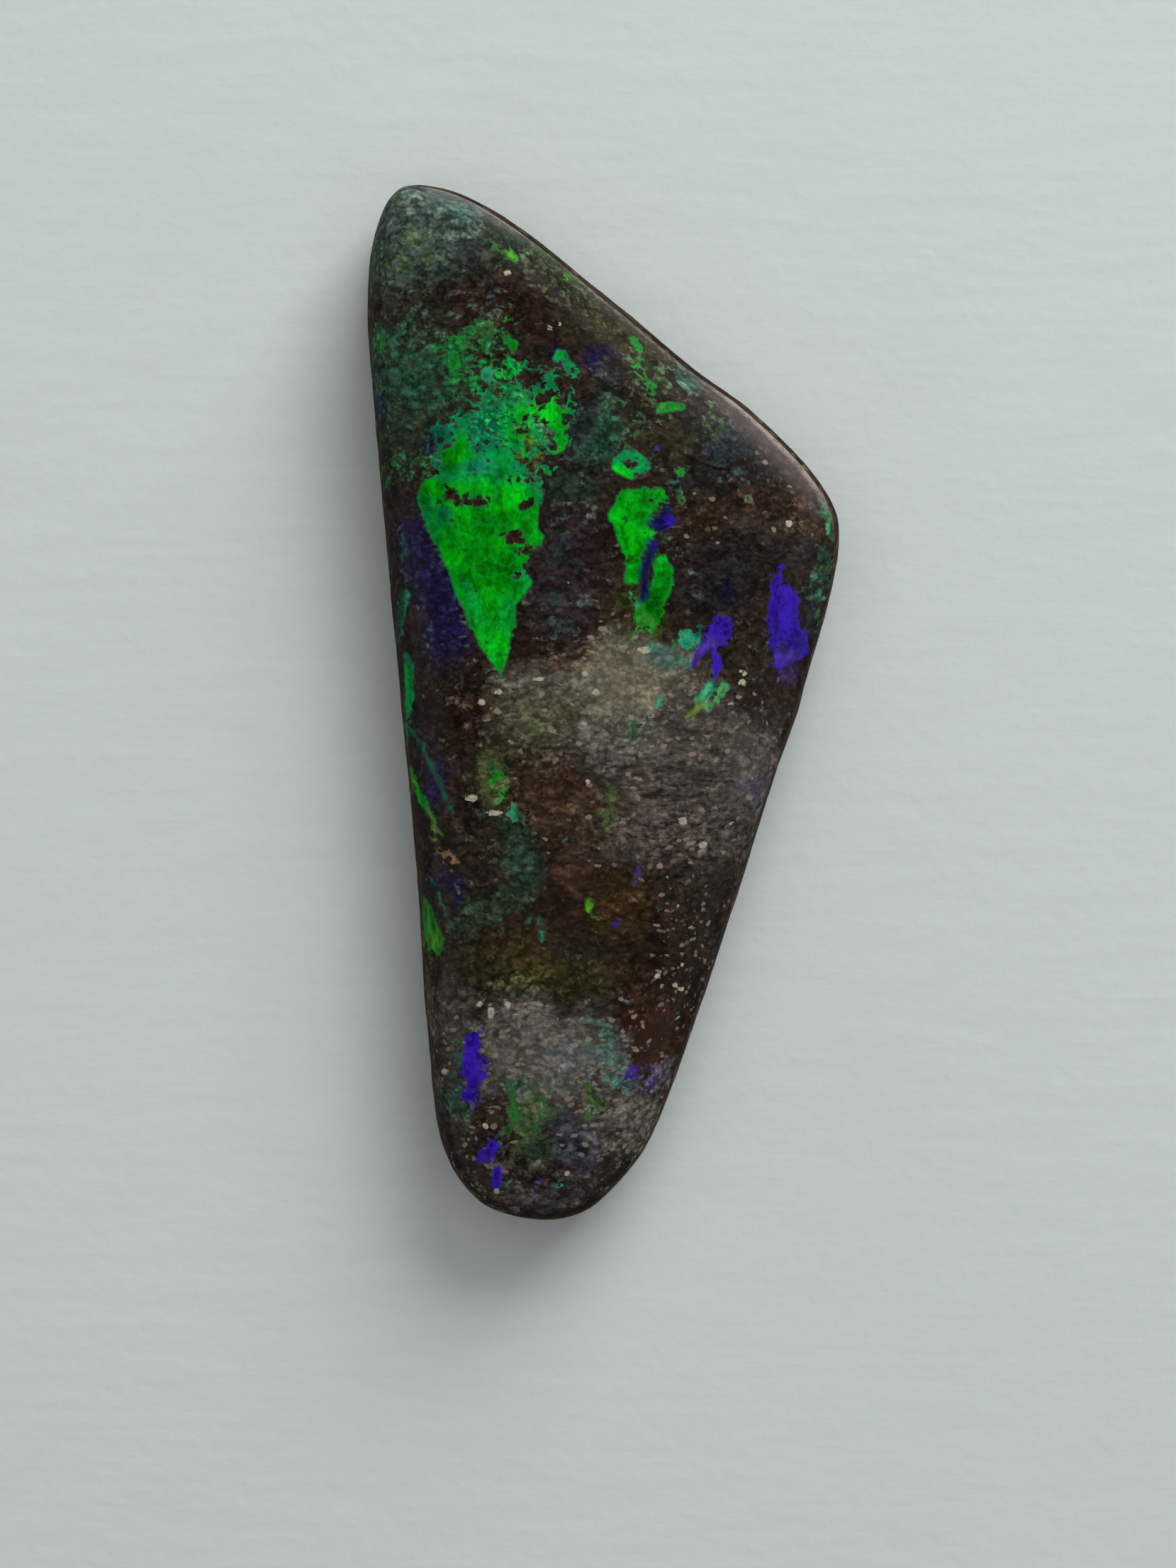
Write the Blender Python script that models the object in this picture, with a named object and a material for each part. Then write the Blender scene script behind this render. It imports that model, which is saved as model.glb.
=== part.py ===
"""Polished free-form boulder opal: one natural stone lying on its flat sawn back.

For Blender 4.5. Lengths are in metres and +Z is up. +Y is the stone's long way, +X is to the right when
the polished face is seen from above, and the origin is on the resting plane under the middle of the
stone's box.
"""

import math

import bmesh
import bpy
import numpy as np

MM = 0.001

# Driving dimensions
LENGTH = 28.0 * MM
WIDTH = 12.8 * MM
THICKNESS = 4.6 * MM

# The widest outline seen from above, clockwise, in millimetres. Each run ends where the next begins.
TOP_TIP = [(-6.28, 12.30), (-5.85, 13.50), (-5.22, 13.98), (-4.10, 13.86)]
RIGHT_SIDE = [(-2.44, 12.99), (0.78, 10.43), (2.39, 9.10), (4.02, 7.89), (5.76, 6.12), (6.34, 5.07),
              (6.40, 4.32), (6.20, 3.01), (5.53, 0.64), (5.20, -0.52), (4.69, -1.93), (3.42, -5.97),
              (2.18, -9.61)]
BOTTOM_TIP = [(1.26, -11.91), (0.74, -12.66), (-0.46, -13.76), (-1.69, -14.00), (-3.34, -13.52)]
LEFT_SIDE = [(-4.35, -12.01), (-4.79, -8.63), (-5.03, -4.98), (-5.66, 1.73), (-6.15, 7.15), (-6.39, 10.40)]

# How finely the outline and the face are divided
SIDE_STEPS = 48
TIP_STEPS = 16
FACE_RINGS = 21
CURVE_STEPS = 64
RING_CROWDING = 1.55
SPINE_EASE = 0.16
SPINE_SLOWEST = 0.12

# Section of the ground flank, from the sawn back up to the edge of the polished face
BACK_INSET = 0.85 * MM
CHAMFER_INSET = 0.42 * MM
CHAMFER_HEIGHT = 0.38 * MM
GIRDLE_HEIGHT = 1.35 * MM
GIRDLE_WAVES = [(0.16 * MM, 2, 0.0), (0.10 * MM, 5, 1.0)]
UPPER_FLANK_RISE = 0.55
UPPER_FLANK_INSET = 0.30

# The face's edge as (height, inset from the outline, fall, roll). A larger fall keeps the face flat
# further out, and a larger roll rounds its edge over. The edge is crisp along the top, softer down the
# lower right, and a steep rounded shoulder on the left.
EDGE_UPPER = (2.62 * MM, 0.25 * MM, 2.5, 1.00)
EDGE_LOWER = (2.50 * MM, 0.15 * MM, 2.4, 1.30)
EDGE_LEFT = (2.34 * MM, 0.13 * MM, 4.2, 1.90)
LOWER_TURN = (-0.05, 0.25)
LEFT_TURN = (-0.30, 0.70)

# Height of the face along the stone's middle, as (place along Y, height), in millimetres
CROWN_LINE = [(14.0, 3.98), (10.5, 4.34), (6.0, 4.54), (1.5, 4.60), (-3.5, 4.53), (-6.9, 4.50),
              (-8.6, 4.36), (-11.5, 3.92), (-14.0, 3.52)]

# Gentle swells and hollows left by polishing, as (x, y, reach in x, reach in y, height), in millimetres
SWELLS = [(1.6, 0.5, 2.0, 2.3, 0.10), (-3.1, 3.8, 1.7, 3.6, -0.10), (3.9, -2.2, 1.4, 1.8, 0.06),
          (2.2, 6.0, 2.0, 2.2, -0.08), (-3.8, 9.6, 1.8, 2.0, 0.07), (-1.4, -4.9, 2.0, 1.8, -0.09),
          (-1.2, -9.8, 1.9, 1.4, 0.06)]
SWELL_FADE = 6.0

# Dark brown ironstone with green opal in it, polished
STONE_COLOUR = (0.045, 0.050, 0.030, 1.0)
STONE_ROUGHNESS = 0.16
STONE_IOR = 1.5
SMOOTH_ANGLE = math.radians(32.0)


def clear_scene():
    for item in list(bpy.data.objects):
        bpy.data.objects.remove(item, do_unlink=True)


def curve_piece(before, start, end, after, steps):
    """Points of a centripetal Catmull-Rom curve from start up to, and without, end."""
    knots = [0.0]
    for first, second in ((before, start), (start, end), (end, after)):
        knots.append(knots[-1] + math.sqrt(np.linalg.norm(second - first)))
    k0, k1, k2, k3 = knots
    t = np.linspace(k1, k2, steps, endpoint=False)[:, None]
    a1 = (k1 - t) / (k1 - k0) * before + (t - k0) / (k1 - k0) * start
    a2 = (k2 - t) / (k2 - k1) * start + (t - k1) / (k2 - k1) * end
    a3 = (k3 - t) / (k3 - k2) * end + (t - k2) / (k3 - k2) * after
    b1 = (k2 - t) / (k2 - k0) * a1 + (t - k0) / (k2 - k0) * a2
    b2 = (k3 - t) / (k3 - k1) * a2 + (t - k1) / (k3 - k1) * a3
    return (k2 - t) / (k2 - k1) * b1 + (t - k1) / (k2 - k1) * b2


def smooth_outline():
    """The closed outline as a dense curve, and where on it each run of points begins."""
    runs = [RIGHT_SIDE, BOTTOM_TIP, LEFT_SIDE, TOP_TIP]
    points = np.array([point for run in runs for point in run]) * MM
    count = len(points)
    pieces = [curve_piece(points[i - 1], points[i], points[(i + 1) % count], points[(i + 2) % count],
                          CURVE_STEPS) for i in range(count)]
    dense = np.concatenate(pieces)
    starts = np.cumsum([0] + [len(run) * CURVE_STEPS for run in runs])
    return dense, starts


def even_samples(dense, begin, end, steps):
    """Points at equal distances along the outline from one place up to, and without, another."""
    stretch = np.vstack([dense, dense[:1]])[begin:end + 1]
    lengths = np.linalg.norm(np.diff(stretch, axis=0), axis=1)
    travelled = np.concatenate([[0.0], np.cumsum(lengths)])
    wanted = np.linspace(0.0, travelled[-1], steps, endpoint=False)
    return np.column_stack([np.interp(wanted, travelled, stretch[:, axis]) for axis in range(2)])


def sampled_outline():
    """The outline's vertices, clockwise from the right side's upper end, and each one's spine vertex.

    Each side has one vertex for every spine vertex. The vertices of a tip all share the spine's end.
    """
    dense, starts = smooth_outline()
    steps = (SIDE_STEPS, TIP_STEPS, SIDE_STEPS, TIP_STEPS)
    parts = [even_samples(dense, starts[i], starts[i + 1], steps[i]) for i in range(4)]
    outline = np.concatenate(parts)
    low = outline.min(axis=0)
    high = outline.max(axis=0)
    outline = (outline - (low + high) / 2.0) * (np.array([WIDTH, LENGTH]) / (high - low))
    down = list(range(SIDE_STEPS + 1))
    spine_of = down + [SIDE_STEPS] * (TIP_STEPS - 1) + down[::-1] + [0] * (TIP_STEPS - 1)
    return outline, np.array(spine_of)


def outward_normals(outline):
    along = np.roll(outline, -1, axis=0) - np.roll(outline, 1, axis=0)
    normals = np.column_stack([-along[:, 1], along[:, 0]])
    return normals / np.linalg.norm(normals, axis=1)[:, None]


def smooth_step(low, high, value):
    t = np.clip((value - low) / (high - low), 0.0, 1.0)
    return t * t * (3.0 - 2.0 * t)


def spine_places():
    """Places along the spine from 0 to 1, closer together at its ends, so that the tips stay round."""
    middles = (np.arange(SIDE_STEPS) + 0.5) / SIDE_STEPS
    ease = smooth_step(0.0, SPINE_EASE, middles) * smooth_step(0.0, SPINE_EASE, 1.0 - middles)
    places = np.concatenate([[0.0], np.cumsum(SPINE_SLOWEST + (1.0 - SPINE_SLOWEST) * ease)])
    return places / places[-1]


def spine_points(outline):
    """A line along the stone's middle, half way between its right side and its left side."""
    left_start = SIDE_STEPS + TIP_STEPS
    right = outline[:SIDE_STEPS + 1]
    left = outline[left_start:left_start + SIDE_STEPS + 1][::-1]
    middle = (right + left) / 2.0
    even = np.linspace(0.0, 1.0, SIDE_STEPS + 1)
    places = spine_places()
    return np.column_stack([np.interp(places, even, middle[:, axis]) for axis in range(2)])


def crown_height(y):
    """Height of the face along the stone's middle, eased between the crown line's points."""
    places = np.array(CROWN_LINE)[::-1] * MM
    slopes = np.gradient(places[:, 1], places[:, 0])
    index = np.clip(np.searchsorted(places[:, 0], y) - 1, 0, len(places) - 2)
    gap = places[index + 1, 0] - places[index, 0]
    t = np.clip((y - places[index, 0]) / gap, 0.0, 1.0)
    start = places[index, 1] * (1.0 + 2.0 * t) * (1.0 - t) ** 2 + slopes[index] * gap * t * (1.0 - t) ** 2
    end = places[index + 1, 1] * t ** 2 * (3.0 - 2.0 * t) + slopes[index + 1] * gap * t ** 2 * (t - 1.0)
    return start + end


def swell_height(x, y):
    total = np.zeros_like(x)
    for centre_x, centre_y, reach_x, reach_y, height in SWELLS:
        away = ((x / MM - centre_x) / reach_x) ** 2 + ((y / MM - centre_y) / reach_y) ** 2
        total += height * MM * np.exp(-away)
    return total


def edge_style(normals):
    """Height, inset, fall and roll of the face's edge, blended by the way the outline faces there."""
    lower = smooth_step(*LOWER_TURN, -normals[:, 1])
    left = smooth_step(*LEFT_TURN, -normals[:, 0])
    blended = []
    for at_upper, at_lower, at_left in zip(EDGE_UPPER, EDGE_LOWER, EDGE_LEFT):
        right = at_upper + (at_lower - at_upper) * lower
        blended.append(right + (at_left - right) * left)
    return blended


def face_height(x, y, fraction, edge_height, fall, roll):
    """Height of the polished face, where fraction runs from 0 on the spine to 1 at the face's edge."""
    dome = (1.0 - fraction ** fall) ** (1.0 / roll)
    swell = swell_height(x, y) * (1.0 - fraction ** SWELL_FADE)
    return edge_height + (crown_height(y) - edge_height) * dome + swell


def girdle_height(count):
    """Height of the widest part of the flank, which wanders a little as it was ground by hand."""
    turn = np.linspace(0.0, 2.0 * math.pi, count, endpoint=False)
    return GIRDLE_HEIGHT + sum(size * np.sin(waves * turn + phase) for size, waves, phase in GIRDLE_WAVES)


def stone_rings():
    """Rings of points from the sawn back up to the innermost ring of the face, then the spine."""
    outline, spine_of = sampled_outline()
    normals = outward_normals(outline)
    edge_height, edge_inset, fall, roll = edge_style(normals)
    girdle = girdle_height(len(outline))
    zero = np.zeros(len(outline))
    section = [(zero + BACK_INSET, zero), (zero + CHAMFER_INSET, zero + CHAMFER_HEIGHT), (zero, girdle),
               (edge_inset * UPPER_FLANK_INSET, girdle + (edge_height - girdle) * UPPER_FLANK_RISE),
               (edge_inset, edge_height)]
    rings = []
    for inset, height in section:
        flat = outline - normals * inset[:, None]
        rings.append(np.column_stack([flat, height]))
    edge = rings[-1][:, :2]
    spine = spine_points(outline)
    for fraction in face_fractions():
        flat = spine[spine_of] + (edge - spine[spine_of]) * fraction
        height = face_height(flat[:, 0], flat[:, 1], fraction, edge_height, fall, roll)
        rings.append(np.column_stack([flat, height]))
    spine_height = crown_height(spine[:, 1]) + swell_height(spine[:, 0], spine[:, 1])
    spine_ring = np.column_stack([spine, spine_height])
    return fitted_height(rings, spine_ring), spine_of


def face_fractions():
    """Places of the face's rings, close together at the edge, where the face rolls over."""
    steps = np.arange(1, FACE_RINGS + 1) / (FACE_RINGS + 1.0)
    return 1.0 - steps ** RING_CROWDING


def fitted_height(rings, spine_ring):
    """Stretch everything above the face's lowest edge so that the top is exactly at THICKNESS."""
    top = max(spine_ring[:, 2].max(), max(ring[:, 2].max() for ring in rings))
    base = EDGE_LEFT[0]
    for ring in rings + [spine_ring]:
        above = np.maximum(ring[:, 2] - base, 0.0)
        ring[:, 2] += above * ((THICKNESS - base) / (top - base) - 1.0)
    return rings, spine_ring


def join_rings(bm, lower, upper):
    for here in range(len(lower)):
        there = (here + 1) % len(lower)
        bm.faces.new((upper[here], upper[there], lower[there], lower[here]))


def close_on_spine(bm, ring, spine, spine_of):
    for here in range(len(ring)):
        there = (here + 1) % len(ring)
        corners = [spine[spine_of[here]], spine[spine_of[there]], ring[there], ring[here]]
        if corners[0] is corners[1]:
            corners.pop(0)
        bm.faces.new(corners)


def stone_material():
    material = bpy.data.materials.new("opal_ironstone")
    material.use_nodes = True
    shader = material.node_tree.nodes["Principled BSDF"]
    shader.inputs["Base Color"].default_value = STONE_COLOUR
    shader.inputs["Roughness"].default_value = STONE_ROUGHNESS
    shader.inputs["Metallic"].default_value = 0.0
    shader.inputs["IOR"].default_value = STONE_IOR
    return material


def build_stone():
    (rings, spine_ring), spine_of = stone_rings()
    bm = bmesh.new()
    ring_vertices = [[bm.verts.new(point) for point in ring] for ring in rings]
    spine_vertices = [bm.verts.new(point) for point in spine_ring]
    bm.faces.new(ring_vertices[0])
    for lower, upper in zip(ring_vertices, ring_vertices[1:]):
        join_rings(bm, lower, upper)
    close_on_spine(bm, ring_vertices[-1], spine_vertices, spine_of)
    bmesh.ops.recalc_face_normals(bm, faces=bm.faces[:])
    mesh = bpy.data.meshes.new("boulder_opal")
    bm.to_mesh(mesh)
    bm.free()
    mesh.materials.append(stone_material())
    mesh.shade_smooth()
    mesh.set_sharp_from_angle(angle=SMOOTH_ANGLE)
    stone = bpy.data.objects.new("boulder_opal", mesh)
    bpy.context.scene.collection.objects.link(stone)
    return stone


clear_scene()
build_stone()
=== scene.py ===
"""Looks of the polished boulder opal: a dense stone with its opal flashes, on a pale floor.

Lengths are in metres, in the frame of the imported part: +Y is the stone's long way, +Z is up. Places on
the stone are written in millimetres from its middle, as they read from above.
"""

import math

import bpy
import numpy as np
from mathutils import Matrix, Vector, noise


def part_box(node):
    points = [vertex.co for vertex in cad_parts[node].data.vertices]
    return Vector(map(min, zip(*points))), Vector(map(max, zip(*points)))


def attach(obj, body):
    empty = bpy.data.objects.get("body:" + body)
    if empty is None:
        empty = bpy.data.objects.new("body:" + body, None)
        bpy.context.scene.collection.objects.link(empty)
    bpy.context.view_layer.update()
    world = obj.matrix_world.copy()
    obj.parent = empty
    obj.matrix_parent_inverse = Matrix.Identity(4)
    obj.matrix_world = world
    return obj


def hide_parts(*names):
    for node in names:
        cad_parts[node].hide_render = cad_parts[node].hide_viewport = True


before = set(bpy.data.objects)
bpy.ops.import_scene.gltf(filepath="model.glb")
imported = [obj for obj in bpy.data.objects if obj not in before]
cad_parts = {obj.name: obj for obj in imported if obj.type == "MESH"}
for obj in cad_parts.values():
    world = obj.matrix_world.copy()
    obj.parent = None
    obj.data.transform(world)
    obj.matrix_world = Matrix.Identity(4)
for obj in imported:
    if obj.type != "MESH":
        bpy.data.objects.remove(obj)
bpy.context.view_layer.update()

MM = 0.001
NODE = "boulder_opal"
LOW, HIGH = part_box(NODE)
WIDTH, LENGTH, THICKNESS = HIGH - LOW

# The photo's frame, and the stone's box in it, in its own pixels
PHOTO_SIZE = (1659, 2212)
STONE_TOP_PX = 259.45
STONE_BOTTOM_PX = 1721.05
STONE_MIDDLE_X_PX = 851.25
PX_SIZE = LENGTH / (STONE_BOTTOM_PX - STONE_TOP_PX)

# The widest outline seen from above, clockwise, in millimetres. Each run ends where the next begins.
TOP_TIP = [(-6.28, 12.30), (-5.85, 13.50), (-5.22, 13.98), (-4.10, 13.86)]
RIGHT_SIDE = [(-2.44, 12.99), (0.78, 10.43), (2.39, 9.10), (4.02, 7.89), (5.76, 6.12), (6.34, 5.07),
              (6.40, 4.32), (6.20, 3.01), (5.53, 0.64), (5.20, -0.52), (4.69, -1.93), (3.42, -5.97),
              (2.18, -9.61)]
BOTTOM_TIP = [(1.26, -11.91), (0.74, -12.66), (-0.46, -13.76), (-1.69, -14.00), (-3.34, -13.52)]
LEFT_SIDE = [(-4.35, -12.01), (-4.79, -8.63), (-5.03, -4.98), (-5.66, 1.73), (-6.15, 7.15), (-6.39, 10.40)]

# How finely the piece is divided
SIDE_STEPS = 285
TIP_STEPS = 95
FACE_RINGS = 82
BACK_RINGS = 20
FLANK_RINGS = (3, 8, 6, 9)
CURVE_STEPS = 64
RING_CROWDING = 1.45
SPINE_EASE = 0.16
SPINE_SLOWEST = 0.12

# Section of the ground flank, from the sawn back up to the edge of the polished face
BACK_INSET = 0.85 * MM
CHAMFER_INSET = 0.42 * MM
CHAMFER_HEIGHT = 0.38 * MM
GIRDLE_HEIGHT = 1.35 * MM
GIRDLE_WAVES = [(0.16 * MM, 2, 0.0), (0.10 * MM, 5, 1.0)]
UPPER_FLANK_RISE = 0.55
UPPER_FLANK_INSET = 0.30

# The face's edge as (height, inset from the outline, fall, roll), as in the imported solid
EDGE_UPPER = (2.62 * MM, 0.25 * MM, 2.5, 1.00)
EDGE_LOWER = (2.50 * MM, 0.15 * MM, 2.4, 1.30)
EDGE_LEFT = (2.34 * MM, 0.13 * MM, 4.2, 1.90)
LOWER_TURN = (-0.05, 0.25)
LEFT_TURN = (-0.30, 0.70)
CROWN_LINE = [(14.0, 3.98), (10.5, 4.34), (6.0, 4.54), (1.5, 4.60), (-3.5, 4.53), (-6.9, 4.50),
              (-8.6, 4.36), (-11.5, 3.92), (-14.0, 3.52)]
SWELLS = [(1.6, 0.5, 2.0, 2.3, 0.10), (-3.1, 3.8, 1.7, 3.6, -0.10), (3.9, -2.2, 1.4, 1.8, 0.06),
          (2.2, 6.0, 2.0, 2.2, -0.08), (-3.8, 9.6, 1.8, 2.0, 0.07), (-1.4, -4.9, 2.0, 1.8, -0.09),
          (-1.2, -9.8, 1.9, 1.4, 0.06)]
SWELL_FADE = 6.0

# Softened corners, and relief that only goes inwards
SOFTENING_PASSES = 2
SOFTENED_FACE_RINGS = 6
WEAR_SCALES = (0.55, 2.1)
SAW_TURNS = 5.2
SAW_SLANT = 0.35
SAW_WOBBLE = 1.5
FLANK_WAVE = 0.035 * MM
FLANK_GRAIN = 0.022 * MM
FACE_WAVE = 0.006 * MM
SAW_DEPTH = 0.014 * MM

# How far below its edge the looks of the polished face fade out, and the room left around each map
FACE_FADE = 0.10 * MM
MAP_GAP = 0.3 * MM

# The paler band along the face's upper right edge, partly its own pinkish grey and partly a painted
# reflection of the light, and the thin line in it, a painted highlight: the way they face, towards the light,
# the soft ellipses where they show (place, reach, turn, strength), and how far in from the edge each of them
# fades
RIM_LIGHT_DIRECTION = (0.67, 0.74)
RIM_FACING = (0.60, 0.90)
RIM_PLACES = [(4.35, 6.95, 3.0, 1.3, -46, 1.0), (-3.4, 13.2, 2.2, 0.9, -25, 0.5),
              (0.6, 10.3, 3.0, 0.9, -40, 0.35)]
RIM_REACH = (0.35 * MM, 1.25 * MM)
HIGHLIGHT_LINE_REACH = (0.10 * MM, 0.30 * MM)

# Clear polish: its weight on the level face, where the face turns down, and on the flank. The slope runs
# between the first two, as the upward part of the surface's normal.
GLOSS_FACE = 0.75
GLOSS_EDGE = 0.05
GLOSS_FLANK = 0.03
GLOSS_SLOPE = (0.55, 0.88)

# How the painted marks fade, wander and break up, in millimetres where they are lengths
# The least painted reflection, which evens out the cells everywhere
LEAST_REFLECTION_HAZE = 0.16
WANDER_OFFSETS = [(11.0, 0.0, 3.0), (0.0, 17.0, 5.0)]
WANDER_WIDE = 0.55
WANDER_NARROW = 0.22
WANDER_SCALES = (0.55, 2.4)
SOFT_FROM = 0.35
SOFT_TO = 1.20
COLOUR_MARGIN = 0.12
RAGGED_SOLID = 0.20
RAGGED_GAIN = 1.7
RAGGED_GAP = 0.6
GAP_MARGIN = 0.30
EDGE_SOFTNESS = 0.5
SPECK_SOFTNESS = 0.12

# Patterns of the material. Scales are features to a millimetre, and turns are in degrees about Z.
NOISE_MIDDLE = 0.5
THREAD_ROUGHNESS = 0.55
BEND_SCALE = 1.7
BEND_DETAIL = 2.0
BEND_REACH = 0.35

# Cells: scale, pull out of round and turn
SMALL_CELLS = (3.6, (0.80, 1.20, 1.0), 24.0)
TINY_CELLS = (6.4, (0.75, 1.25, 1.0), -38.0)
GRAIN_CELLS = (7.0, (0.72, 1.15, 1.0), -12.0)
FLANK_CELLS = (6.5, (0.8, 0.8, 1.3), 0.0)

# Noises: scale and detail, and roughness where it isn't 0.5
MIDDLE_NOISE = (5.0, 3.0, 0.6)
FINE_NOISE = (10.0, 2.0, 0.6)
BROAD_NOISE = (1.2, 3.0)
DASH_NOISE = (1.0, 3.0, 0.65)
CLOUD_NOISE = (4.6, 4.0, 0.65)
COLUMN_NOISE = (2.3, 2.0, 0.55)
SPOT_NOISE = (9.0, 2.0)
PIT_NOISE = (3.7, 2.0)
BAND_NOISE = (1.0, 4.0, 0.6)
BLOT_NOISE = (0.8, 3.0)
FACE_EDGE_NOISE = (5.0, 2.0)
SCRATCH_NOISE = (1.0, 2.0)

# Threads: scale, width as a share of the noise's range, and detail
GROUND_THREADS = (3.4, 0.07, 3.0)
TEAR_THREADS = (2.3, 0.10, 2.0)
NET_THREADS = (1.5, 0.07, 2.0)
VEIN_THREADS = (2.6, 0.06, 3.0)

# Pulls of the patterns that are drawn out: scales of the place along X, Y and Z, and a turn in degrees
# where there is one. A pattern is drawn out along the axis with the smallest scale.
GROUND_THREAD_PULL = ((0.8, 1.2, 1.0), 30.0)
DASH_PULL = ((1.5, 7.0, 2.0),)
NET_PULL = ((0.8, 1.2, 1.0), -15.0)
VEIN_PULL = ((1.3, 0.8, 1.0), 20.0)
COLUMN_PULL = ((1.0, 0.45, 1.0),)
BAND_PULL = ((0.35, 0.35, 2.6),)
SCRATCH_PULL = ((0.7, 0.7, 14.0),)

# Ramps: two levels of a pattern, and the two amounts that they become where these aren't 0 and 1
CELL_RAMP = (0.20, 0.80, 1.0, 0.10)
MIDDLE_RAMP = (0.30, 0.70, 0.0, 0.35)
TINT_RAMP = (-0.16, 0.16)
FINE_RAMP = (0.30, 0.70, 0.62, 1.38)
BROAD_RAMP = (0.34, 0.66, 0.75, 1.22)
LIGHT_DASH_RAMP = (0.50, 0.64)
DARK_DASH_RAMP = (0.47, 0.37)
GRAIN_RAMP = (0.0, 0.14, 1.0, 0.0)
CLOUD_RAMP = (0.30, 0.70)
MASK_RAMP = (0.40, 0.60)
COLUMN_RAMP = (0.36, 0.64, 0.55, 1.32)
SPOT_RAMP = (0.3, 0.7, 0.82, 1.15)
RIM_RAMP = (0.50, 0.68, 0.8, 0.0)
PIT_RAMP = (0.33, 0.27, 0.0, 0.75)
BAND_RAMP = (0.36, 0.64)
BLOT_RAMP = (0.56, 0.72, 0.0, 0.7)
# The painted highlight line along the upper right edge, by the ground's level
HIGHLIGHT_LINE_RAMP = (0.4, 1.4, 0.35, 0.9)
SPECK_RAMP = (0.44, 0.60)
SPECK_LIGHT_RAMP = (0.35, 0.6, 0.6, 1.0)
FACE_EDGE_RAMP = (0.6, 0.8)

# Straight relations: gain and start
TINT_LIMIT = (-0.80, 0.90)
GRAIN_REACH = (0.5, 0.05)
GRAIN_LIMIT = (-0.30, 1.0)
GRAIN_LIGHT = (0.75, 0.15)
TEAR_SWING = (0.90, -0.40)
VEIN_SHADE = (-0.38, 1.0)
FLANK_MOTTLE = (0.9, 0.5)
# Strength of the band along the upper right edge, partly painted reflection, by the ground's level
RIM_REFLECTION_GAIN = (0.2, 0.45)
FACE_ROUGHNESS = (0.10, 0.34)
FLANK_ROUGHNESS = (0.25, 0.66)

# Single gains, shares and limits of the patterns
SMALL_VOTE = 0.40
TINY_VOTE = 0.25
CELL_GAIN = 1.5
LEAST_LEVEL = 0.24
THREAD_GAIN = 0.55
DASH_GAIN = 0.6
GRAIN_SPREAD = 0.16
THREAD_VOTE = 0.45
CLOUD_VOTE = 0.55
NET_LIGHT = 0.22
NET_RIM = 0.28
SPECK_SHIFT = 0.40
SPECK_TEAR = 0.8
FACE_EDGE_TEAR = 0.4
FLANK_GRAIN_LIMIT = 0.94
FLANK_GRAIN_SHARE = 0.55

# The surface itself, and the fine relief of the material
COAT_ROUGHNESS = 0.09
STONE_IOR = 1.45
STONE_SPECULAR = 0.04
FLASH_ROUGHNESS = -0.08
UNPOLISHED_ROUGHNESS = 0.92
GRAIN_RISE = -0.35
LEVEL_RISE = 0.12
FLANK_GRAIN_RISE = 0.5
STONE_BUMP = 0.6
STONE_BUMP_HEIGHT = 0.012 * MM

# Linear colours of the pits in the flashes and of the ground flank
PIT_COLOUR = (0.012, 0.03, 0.006, 1.0)
FLANK_DARK = (0.017, 0.010, 0.006, 1.0)
FLANK_BROWN = (0.060, 0.036, 0.020, 1.0)
FLANK_RUST = (0.075, 0.026, 0.010, 1.0)
FLANK_PALE = (0.22, 0.17, 0.11, 1.0)

# Floor, camera and light
FLOOR_SIZE = 0.7
FLOOR_GAP = 0.00001
FLOOR_COLOUR = (0.77, 0.84, 0.82)
FLOOR_BRUSH_PULL = ((0.25, 1.8, 1.0), 2.0)
FLOOR_BRUSH_NOISE = (1.0, 3.0, 0.6)
FLOOR_TOOTH_NOISE = (2.4, 2.0)
FLOOR_SHADE = (0.10, 0.95)
FLOOR_ROUGHNESS = 0.6
FLOOR_BRUSH_RISE = 0.6
FLOOR_BUMP = 0.5
FLOOR_BUMP_HEIGHT = 0.03 * MM
CAMERA_HEIGHT = 0.120
SENSOR = 36.0
NEAREST_SEEN = 0.001
FARTHEST_SEEN = 10.0
# The surround's light by the height of the direction: low down, and overhead
DIM_TOP = (0.20, 0.75)
WALL_LIGHT = 0.20
TOP_LIGHT = 0.03
SURROUND_COLOUR = (0.98, 1.0, 0.98, 1.0)
# Bright places of the surround: azimuth, elevation, inner and outer reach in degrees, power
GLOWS = [(48.0, 2.0, 6.0, 20.0, 0.45), (90.0, 4.0, 8.0, 22.0, 0.45), (124.0, 6.0, 6.0, 20.0, 0.4)]
# Area lights: name, azimuth, elevation, distance, size, power
LIGHTS = [("window", 64.0, 35.0, 0.30, 0.19, 0.63), ("ceiling", 90.0, 84.0, 0.34, 0.60, 0.61)]

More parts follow.
